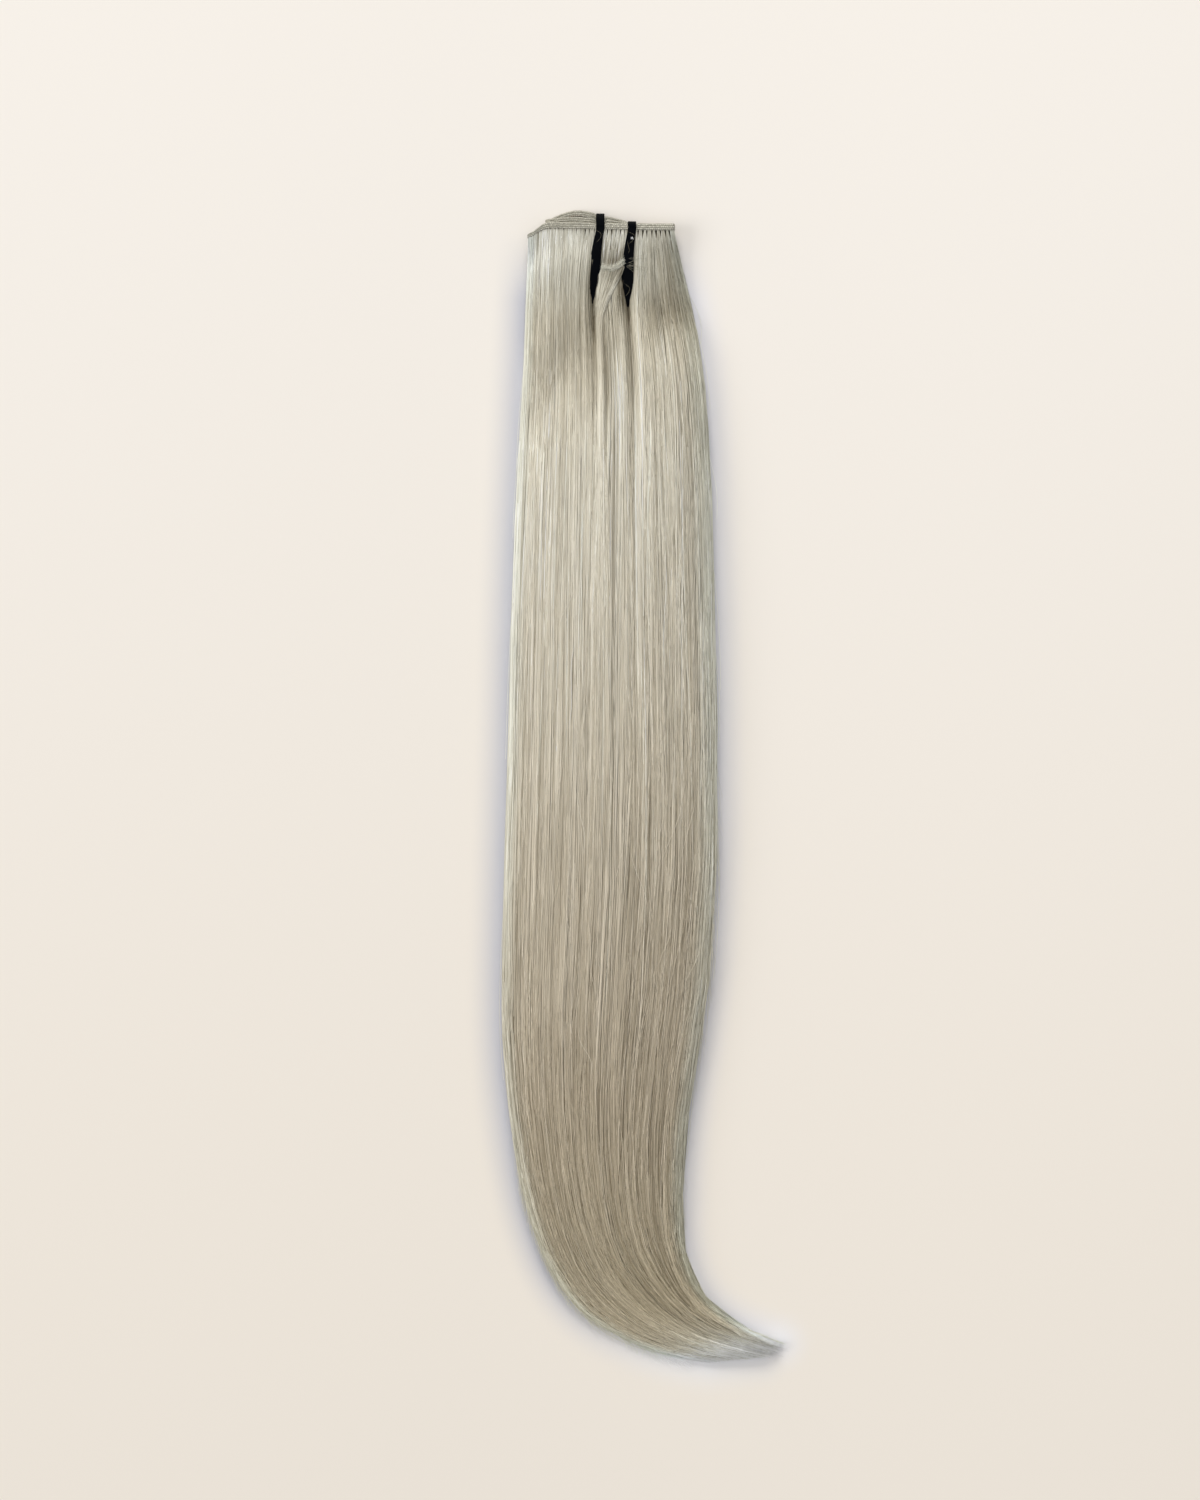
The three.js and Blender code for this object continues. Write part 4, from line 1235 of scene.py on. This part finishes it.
def tie_route(across):
    head_x = on_front(across, 0)[0]
    foot = float(rise(FOLDS[0], head_x))
    edges = [float(rise(fold, head_x)) + TRACK_HEIGHT * (1 - TIE_PRESS) for fold in FOLDS]
    reach = max(edges) + TIE_AT_HEAD
    track_top = layer_z(0) + TRACK_THICK / 2
    dive = on_front(across, TIE_DIVE)
    points = [on_front(across, r) + (-bow, 0, TIE_ON_HAIR) for r, bow in TIE_BOW.items()]
    points += [
        (head_x, foot, track_top + TIE_AT_HEAD),
        (head_x, edges[0], track_top + TIE_AT_HEAD),
        (head_x, (edges[0] + reach) / 2, (track_top + layer_z(1)) / 2 + TIE_AT_HEAD),
        (head_x, reach, layer_z(2)),
        (head_x, reach, BACK_LAYER_Z - TRACK_THICK / 2),
        (head_x, reach - TIE_THICK, TIE_FLOOR_Z),
    ]
    points += [(*on_front(across, r)[:2], TIE_FLOOR_Z) for r in TIE_BACK_RUNS]
    points += [(dive[0], dive[1], dive[2] * share) for share in TIE_RISE_SHARES]
    return rounded_path(points, TIE_STEPS, True)


print("points on a tie's route:", len(tie_route(TIE_LEFT)))

# %% [markdown]
# A flat section with soft edges and a shallow wave is swept along the route. A bevelled curve could do it,
# but it would twist on the turns and keep one width, while a real band spreads on the hair and is squeezed
# where it dives. So the section's side always points across the bundle, and its width follows a table.

# %% Bands of the ties
TIE_SPREAD = np.array([
    # distance above the dive, share of the width
    (0, 0.25), (4, 0.58), (8, 1.0), (13, 1.5), (20, 1.42), (28, 1.18), (36, 1.0),
])
BAND_SECTION = np.array([
    # share of half the width, share of half the thickness
    (-1, 0.0), (-0.97, 0.6), (-0.86, 0.95), (-0.6, 1.0), (-0.3, 0.9), (0, 1.0), (0.3, 0.9), (0.6, 1.0),
    (0.86, 0.95), (0.97, 0.6), (1, 0.0),
])


def tie_band(name, across):
    route = tie_route(across)
    ahead = np.roll(route, -1, axis=0) - np.roll(route, 1, axis=0)
    ahead /= np.linalg.norm(ahead, axis=1, keepdims=True)
    side = np.array([1.0, 0.0, 0.0])
    out = np.cross(side, ahead)
    out /= np.linalg.norm(out, axis=1, keepdims=True)
    section = np.concatenate([BAND_SECTION, BAND_SECTION[-2:0:-1] * (1, -1)])
    dive_y = on_front(across, TIE_DIVE)[1]
    spread = np.interp(route[:, 1] - dive_y, *TIE_SPREAD.T)[:, None, None]
    ring = (route[:, None, :] + side * section[None, :, :1] * spread * TIE_WIDTH / 2
            + out[:, None, :] * section[None, :, 1:] * TIE_THICK / 2)
    rings, around = ring.shape[:2]
    steps = np.concatenate([[0], np.cumsum(np.linalg.norm(np.roll(route, -1, axis=0) - route, axis=1))])
    k, j = np.arange(rings)[:, None, None], np.arange(around)[None, :, None]
    along = steps[k + np.array([0, 0, 1, 1])]
    across_mm = section[(j + np.array([0, 1, 1, 0])) % around, 0] * TIE_WIDTH / 2
    lay = np.stack(np.broadcast_arrays(across_mm, along), axis=-1)
    print(name, "is", round(float(steps[-1])), "mm round")
    return face_out(new_piece(name, ring, loft_faces(rings, around, looped=True), tie_mat, lay))


TIES = [
    # piece, node that it replaces, place across
    ("tie_band_left", "tie_left", TIE_LEFT),
    ("tie_band_right", "tie_right", TIE_RIGHT),
]
for name, node_name, across in TIES:
    band = tie_band(name, across)
    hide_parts(node_name)
    pieces.append((band, "tie"))
    print(band.name, len(band.data.polygons), "faces")

# %% [markdown]
# A few loose hairs finish the head. Random ones would miss what makes this head look handled, so each is
# a short curve through a few listed points, and loose_group sets several side by side with some spread
# between them. tie_top tells how high a hair has to lie to cross a tie.

# %% Helpers for loose hairs
LOOSE_POINTS, LOOSE_STEPS, LOOSE_JITTER = 9, 12, 0.3


def tie_top(across, y):
    """Height of a tie's outer face at y."""
    route = tie_route(across)
    front = route[route[:, 2] > layer_z(1)]
    order = np.argsort(front[:, 1])
    return float(np.interp(y, front[order, 1], front[order, 2])) + TIE_THICK / 2


def loose_group(rng, points, count, spread):
    """Strands side by side through the same points, as strands x LOOSE_POINTS x 3."""
    strands = []
    for _ in range(count):
        shift, jitter = rng.normal(0, 1, 3), rng.normal(0, LOOSE_JITTER, (len(points), 3))
        line = rounded_path(np.asarray(points, float) + (shift + jitter) * spread, LOOSE_STEPS, False)
        pick = np.linspace(0, len(line) - 1, LOOSE_POINTS).round().astype(int)
        strands.append(line[pick])
    return np.array(strands)


print("the right tie is", round(tie_top(TIE_RIGHT, -17), 1), "mm high at the wisp")

# %% [markdown]
# A wisp is wound across the middle lock, and where it comes out at the right tie its ends fan over the
# black band. Thick strands would look like string there, so it is many very fine ones side by side. A few
# single hairs lie along the track.

# %% A wisp and its fan
WISP_HAIRS, TRACK_HAIRS, FAN_HAIRS = 40, 3, 12
WISP_Y, FAN_ANGLE, FAN_NOISE, FAN_X, FAN_Y, FAN_REACH = -17, 36, 4, 11.8, (-18.6, -15.8), (7, 13)
rng = np.random.default_rng(523)
tie_z = tie_top(TIE_RIGHT, WISP_Y)
wisp_z = on_front(0.2, 20)[2]
track_z = layer_z(0) + TRACK_THICK / 2
wisp = [(13.0, -14.8, tie_z - 0.7), (11.2, -16.4, wisp_z + 1.4), (7.5, -19.2, wisp_z + 1.6),
        (3.4, -19.9, wisp_z + 1.4), (-0.2, -19.0, wisp_z + 0.6)]
on_track = [(-23.8, 2.6, track_z + 0.35), (-17, 2.4, track_z + 0.4), (-11, 3.6, track_z + 0.3),
            (-4.5, 4.8, track_z - 0.4)]
loose = [loose_group(rng, wisp, WISP_HAIRS, (0.3, 0.9, 0.15)),
         loose_group(rng, on_track, TRACK_HAIRS, (0.3, 0.2, 0.05))]
for angle in np.linspace(-FAN_ANGLE, FAN_ANGLE, FAN_HAIRS) + rng.normal(0, FAN_NOISE, FAN_HAIRS):
    start, reach = np.array([FAN_X, rng.uniform(*FAN_Y)]), rng.uniform(*FAN_REACH)
    way = np.array([math.cos(math.radians(angle)), math.sin(math.radians(angle))])
    bow = np.array([-way[1], way[0]]) * rng.normal(0, 0.7)
    stops = [start, start + way * reach * 0.5 + bow, start + way * reach]
    heights = (tie_z - 0.5, tie_z + 0.15, tie_z + 0.1)
    loose.append(loose_group(rng, [(*p, z) for p, z in zip(stops, heights)], 1, (0.1, 0.1, 0.03)))
print("groups at the wisp:", len(loose))

# %% [markdown]
# Single hairs arch over the ties, some drift beside the right one, and a small white knot of fibres sits on
# it. They are few, but on the black bands each one shows. The knot could be a bead, but crossed fibres look
# softer.

# %% Hairs over the ties
TIE_HAIRS = [
    # tie, middle in y, bow to the right
    (TIE_RIGHT, -4.0, 1.6), (TIE_RIGHT, -9.0, -1.3), (TIE_RIGHT, -30.0, 0.8), (TIE_LEFT, -3.0, 0.9),
]
DRIFT_HAIRS, DRIFT_X, DRIFT_HALF, DRIFT_TO, DRIFT_SHARE, DRIFT_RUN = 12, (23, 30), 37, 0.5, 0.7, (3, 26)
KNOT_HAIRS, KNOT_X, KNOT_Y, KNOT_RADIUS, KNOT_RISE = 9, 16.0, -4.7, 0.75, 0.3
for across, y, bow in TIE_HAIRS:
    x = on_front(across, -y)[0]
    arc = [(x - 1.6, y + 2.6), (x + bow, y + 0.6), (x + 0.5 * bow, y - 1.6), (x - 1.2, y - 3.4)]
    arc = [(*p, tie_top(across, p[1]) + 0.15) for p in arc]
    loose.append(loose_group(rng, arc, 1, (0.1, 0.1, 0.01)))
for start in np.linspace(*DRIFT_X, DRIFT_HAIRS):
    drift = []
    for run in (7, 12, 17, 22, 27):
        moved = DRIFT_SHARE * float(smooth_step(run, *DRIFT_RUN))
        drift.append(on_front(mix(start / DRIFT_HALF, DRIFT_TO, moved), run))
    loose.append(loose_group(rng, np.array(drift) + (0, 0, 0.1), 1, (0.3, 0.4, 0.05)))
knot = np.array([KNOT_X, KNOT_Y, tie_top(TIE_RIGHT, KNOT_Y)])
for turn in np.linspace(0, np.pi, KNOT_HAIRS):
    arm = np.array([KNOT_RADIUS * math.cos(turn), KNOT_RADIUS * math.sin(turn), 0])
    fibre = [knot - arm, knot + (0, 0, KNOT_RISE), knot + arm]
    loose.append(loose_group(rng, fibre, 1, (0.22, 0.22, 0.05)))
print("groups with the ties:", len(loose))

# %% [markdown]
# Loose hairs are out of the combed light, so their shade is given one by one: the wisp is bright, the fan
# over the black band is dull, hairs on the ties nearly vanish, and the knot is white. One piece holds them
# all.

# %% Shades of the loose hairs
LOOSE_SHADE, LOOSE_SHADE_SPREAD, LOOSE_THICK = 0.8, 0.08, 0.11
WISP_GAIN, FAN_GAIN, TIE_HAIR_SHADE, KNOT_SHADE = 1.18, 0.6, 0.25, 1.9
LOOSE_ACROSS, LOOSE_RUN, LOOSE_ENDS = -2.0, 100.0, (0.5, 0.4)
loose = np.concatenate(loose)
girth = np.ones(loose.shape[:2])
girth[:, 0], girth[:, -1] = LOOSE_ENDS
shade = LOOSE_SHADE + rng.normal(0, LOOSE_SHADE_SPREAD, len(loose))[:, None]
shade = np.repeat(shade, LOOSE_POINTS, axis=1)
fan_first = WISP_HAIRS + TRACK_HAIRS
tie_first = fan_first + FAN_HAIRS
shade[:WISP_HAIRS] *= WISP_GAIN
shade[fan_first:tie_first] *= FAN_GAIN
shade[tie_first:tie_first + len(TIE_HAIRS)] = TIE_HAIR_SHADE
shade[-KNOT_HAIRS:] = KNOT_SHADE
tint = hair_tint(np.full(shade.shape, LOOSE_ACROSS), np.full(shade.shape, LOOSE_RUN), shade)
sweep_strands("hair_loose", loose, girth, tint, LOOSE_THICK)

# %% [markdown]
# Single fly-away hairs leave the edge of the fall and come back to it. They could be scattered at random,
# but a few well spread ones look more natural, so a table says where each begins and ends.

# %% Fly-away hairs
FLYAWAYS = [
    # side, from, to, furthest out
    (1, 36, 62, 1.6), (1, 50, 95, 1.0), (1, 118, 150, 1.5), (1, 170, 235, 1.1), (1, 300, 380, 1.2),
    (1, 425, 470, 1.0), (-1, 60, 120, 0.9), (-1, 180, 260, 1.0), (-1, 330, 420, 1.1), (-1, 455, 520, 1.3),
    (-1, 500, 556, 1.2), (1, 500, 560, 1.2), (1, 210, 260, 0.8), (-1, 100, 150, 0.8), (-1, 540, 590, 1.5),
]
FINE_THICK, FLY_SHADE, FLY_ROOT_IN, FLY_LOWEST, FLY_EDGE = 0.2, 1.1, 0.5, 0.4, 0.97
rng = np.random.default_rng(631)
flights = []
for side, start, end, away in FLYAWAYS:
    share = np.linspace(0, 1, LOOSE_POINTS)
    run = mix(start, end, share)
    out = away * np.sin(np.pi * np.clip(share * rng.uniform(0.6, 1.0), 0, 1)) - FLY_ROOT_IN * (1 - share)
    x, y = strand_plan(side * (1 + out / half_width(run)), run)
    z = body_thick(np.full_like(run, side * FLY_EDGE), run) * rng.uniform(0.5, 0.9)
    flights.append(np.stack([x, y, np.maximum(z, FLY_LOWEST)], axis=-1))
flights = np.array(flights)
run = np.repeat(np.array([(a + b) / 2 for _, a, b, _ in FLYAWAYS])[:, None], LOOSE_POINTS, axis=1)
tint = hair_tint(np.full(run.shape, LOOSE_ACROSS), run, np.full(run.shape, FLY_SHADE))
sweep_strands("hair_flyaway", flights, np.ones(run.shape), tint, FINE_THICK)

# %% [markdown]
# Along the edges, and most of all round the outside of the curl, hairs end early and stand out a little,
# which makes the edge soft. A see-through edge would need a picture or sorting, so these are fine, short
# strands. They start inside the fall and bend out to the rim, and thin out to their ends.

# %% Frayed ends
FRAYS = [
    # from across, to across, first start, last start, shortest, longest, furthest out, strands
    (-1.0, -0.75, 440, 588, 18, 44, 2.6, 360),
    (0.8, 1.0, 480, 575, 14, 30, 1.4, 110),
    (0.88, 1.0, 250, 500, 30, 60, 1.5, 110),
]
FRAY_BEND, FRAY_START_Z, FRAY_END_Z, FRAY_LOWEST, FRAY_EDGE = 1.6, (0.9, 1.02), 0.6, 0.3, 0.97
FRAY_SHADE, FRAY_SHADE_SPREAD, FRAY_TIP_GIRTH = 1.05, 0.12, 0.35
rng = np.random.default_rng(733)
share = np.linspace(0, 1, LOOSE_POINTS)[None, :]
frays, fray_run = [], []
for low, high, first, last, shortest, longest, away, count in FRAYS:
    start, length = rng.uniform(first, last, (count, 1)), rng.uniform(shortest, longest, (count, 1))
    root, side = rng.uniform(low, high, (count, 1)), np.sign(low + high)
    run = start + np.minimum(length, tip_run(root) - start) * share
    rim = side * (1 + away * rng.random((count, 1)) / half_width(run))
    u = mix(root, rim, share ** FRAY_BEND)
    x, y = strand_plan(u, run)
    height = mix(rng.uniform(*FRAY_START_Z, (count, 1)), FRAY_END_Z, share)
    z = body_thick(np.clip(u, -FRAY_EDGE, FRAY_EDGE), run) * height
    frays.append(np.stack([x, y, np.maximum(z, FRAY_LOWEST)], axis=-1))
    fray_run.append(run)
frays, run = np.concatenate(frays), np.concatenate(fray_run)
girth = np.ones(run.shape) * np.linspace(1, FRAY_TIP_GIRTH, LOOSE_POINTS)
shade = FRAY_SHADE + rng.normal(0, FRAY_SHADE_SPREAD, (len(run), 1))
tint = hair_tint(np.full(run.shape, -1.0), run, shade)
sweep_strands("hair_fray", frays, girth, tint, FINE_THICK)

# %% [markdown]
# Combed hair never lies quite still: fine hairs leave their clump and cross their neighbours at a small
# angle, most of all along the curl. They could be drawn as scratches in the material, but as strands on
# the top they catch the light by themselves, so a few hundred short ones are laid there.

# %% Stray hairs on the top
STRAYS, STRAY_DRIFT, STRAY_WAVE, STRAY_STOP = 360, 3.6, 0.9, 12.0
STRAY_START, STRAY_LATE, STRAY_LENGTH = (110, 560), 0.45, (24, 62)
STRAY_ROOT, STRAY_EDGE, STRAY_TURNS, STRAY_Z = 0.93, 0.98, (1, 2.5), 0.2
STRAY_SHADE, STRAY_SHADE_SPREAD = 1.22, 0.18
rng = np.random.default_rng(829)
share = np.linspace(0, 1, LOOSE_POINTS)[None, :]
root = rng.uniform(-STRAY_ROOT, STRAY_ROOT, (STRAYS, 1))
start = mix(*STRAY_START, rng.random((STRAYS, 1)) ** STRAY_LATE)
length = np.minimum(rng.uniform(*STRAY_LENGTH, (STRAYS, 1)), tip_run(root) - STRAY_STOP - start)
run = start + length * share
wave = STRAY_WAVE * rng.normal(0, 1, (STRAYS, 1))
wave = wave * np.sin(np.pi * share * rng.uniform(*STRAY_TURNS, (STRAYS, 1)))
drift = STRAY_DRIFT * rng.normal(0, 1, (STRAYS, 1)) * (share - 0.5)
u = np.clip(root + (drift + wave) / half_width(run), -STRAY_EDGE, STRAY_EDGE)
x, y = strand_plan(u, run)
places = np.stack([x, y, body_thick(u, run) + rng.uniform(-STRAY_Z, STRAY_Z, (STRAYS, 1))], axis=-1)
girth = np.repeat(np.clip(1.6 * np.sin(np.pi * share), 0.3, 1), STRAYS, axis=0)
tint = hair_tint(u, run, STRAY_SHADE + rng.normal(0, STRAY_SHADE_SPREAD, (STRAYS, 1)))
sweep_strands("hair_stray", places, girth, tint, FINE_THICK)

# %% [markdown]
# Last comes the table, which isn't part of the object. Beside the hair it is a cool grey. The lamps alone
# leave too little shade there, so the table's points carry it as a colour. First the edges of the hair are
# noted in plan. The left one casts more painted shade than the right one, and both fade towards the tip,
# where the table is painted a pale cool grey, lighter than elsewhere: painted light that lifts the lamps'
# own shadow round the tip.

# %% Shade beside the hair
EDGE_SPOTS, CUT_SPOTS = 240, 40
FADE_LEFT, FADE_RIGHT = (515, 600), (572, 592)
SHADES = {
    # colour, strength, reach
    "left": ((0.52, 0.524, 0.57), 1.25, 18.0),
    "right": ((0.69, 0.70, 0.775), 0.8, 16.0),
    # the tip is painted light: a pale colour that lifts the lamps' shadow round the tip
    "tip": ((0.85, 0.85, 0.87), 1.0, 18.0),
}


def shade_edge(side, fade, at_tip):
    """Points of one edge of the hair in plan, each with its share of the shade, which changes over fade."""
    run = np.linspace(0, 1, EDGE_SPOTS) * tip_run(side)
    share = smooth_step(run, *fade)
    return np.stack([*strand_plan(np.full(EDGE_SPOTS, side), run), share if at_tip else 1 - share], axis=-1)


tip_u = np.linspace(-1, 1, CUT_SPOTS)
cut = np.stack([*strand_plan(tip_u, tip_run(tip_u)), np.ones(CUT_SPOTS)], axis=-1)
edges = {
    "left": shade_edge(-1.0, FADE_LEFT, False),
    "right": shade_edge(1.0, FADE_RIGHT, False),
    "tip": np.concatenate([shade_edge(-1.0, FADE_LEFT, True), cut, shade_edge(1.0, FADE_RIGHT, True)]),
}
print("spots that cast shade:", sum(len(spots) for spots in edges.values()))

# %% [markdown]
# The table is a plain pale sheet with painted light: a little warmer at the near end and paler at the
# right, as the light across it is uneven. One flat face couldn't hold the shade, so it is a grid, with
# lines close together beside the hair and far apart further out.

# %% Table
# painted light on the table: a little cooler towards the sewn end, warmer at the near end, paler at the
# right
TABLE_PALE, TABLE_LIGHT_COOL = np.array([0.815, 0.765, 0.695]), np.array([0.0, 0.011, 0.03])
LIGHT_COOL_Y, PAINTED_LIGHT_X, PAINTED_LIGHT_RIGHT = (-600, 100), (-120, 220), 0.035
SHADE_EASE, SHADE_FULL_BELOW = 1.6, 34.0
TABLE_X, TABLE_Y, TABLE_STEP, TABLE_FAR = (-90, 130), (-620, 60), 2.5, 4000
TABLE_OUTER = np.array([40, 120, 400])


def table_lines(low, high):
    inner = np.arange(low, high + TABLE_STEP, TABLE_STEP)
    before, after = low - TABLE_OUTER[::-1], inner[-1] + TABLE_OUTER
    return np.concatenate([[-TABLE_FAR], before, inner, after, [TABLE_FAR]])


xs, ys = table_lines(*TABLE_X), table_lines(*TABLE_Y)
grid_x, grid_y = np.meshgrid(xs, ys)
cool = smooth_step(grid_y, *LIGHT_COOL_Y)[..., None] * 2 - 1
tint = TABLE_PALE * (1 + TABLE_LIGHT_COOL * cool) * (1 + PAINTED_LIGHT_RIGHT * smooth_step(grid_x, *PAINTED_LIGHT_X)[..., None])
for side, (colour, strength, reach) in SHADES.items():
    dim = np.zeros(grid_x.shape)
    for spot_x, spot_y, share in edges[side]:
        near = np.clip(1 - np.hypot(grid_x - spot_x, grid_y - spot_y) / reach, 0, 1)
        dim = np.maximum(dim, strength * share * near ** SHADE_EASE)
    dim = np.minimum(dim, 1) * np.clip(-grid_y / SHADE_FULL_BELOW, 0, 1)
    tint = mix(tint, np.array(colour), dim[..., None])
tint = np.concatenate([tint, np.ones_like(tint[..., :1])], axis=-1)
row, col = np.meshgrid(np.arange(len(ys) - 1), np.arange(len(xs) - 1), indexing="ij")
corner = (row * len(xs) + col).reshape(-1)
faces = np.stack([corner, corner + 1, corner + len(xs) + 1, corner + len(xs)], axis=-1)
sheet = np.stack([grid_x, grid_y, np.zeros_like(grid_x)], axis=-1)
table = new_piece("table", sheet, faces, floor_mat, tint=tint)
table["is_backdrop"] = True
print("table has", len(faces), "faces")

# %% [markdown]
# Nothing on the bundle moves on a joint, so every piece rides on the root. The box of the dressed bundle
# and its count of triangles are printed.

# %% Pieces on the root
for piece, slot in pieces:
    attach(piece, "root")
low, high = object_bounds()
total = sum(triangles(piece) for piece, _ in pieces)
print("visual box in mm:", [round(v / MM, 1) for v in (high - low)], "triangles:", total)
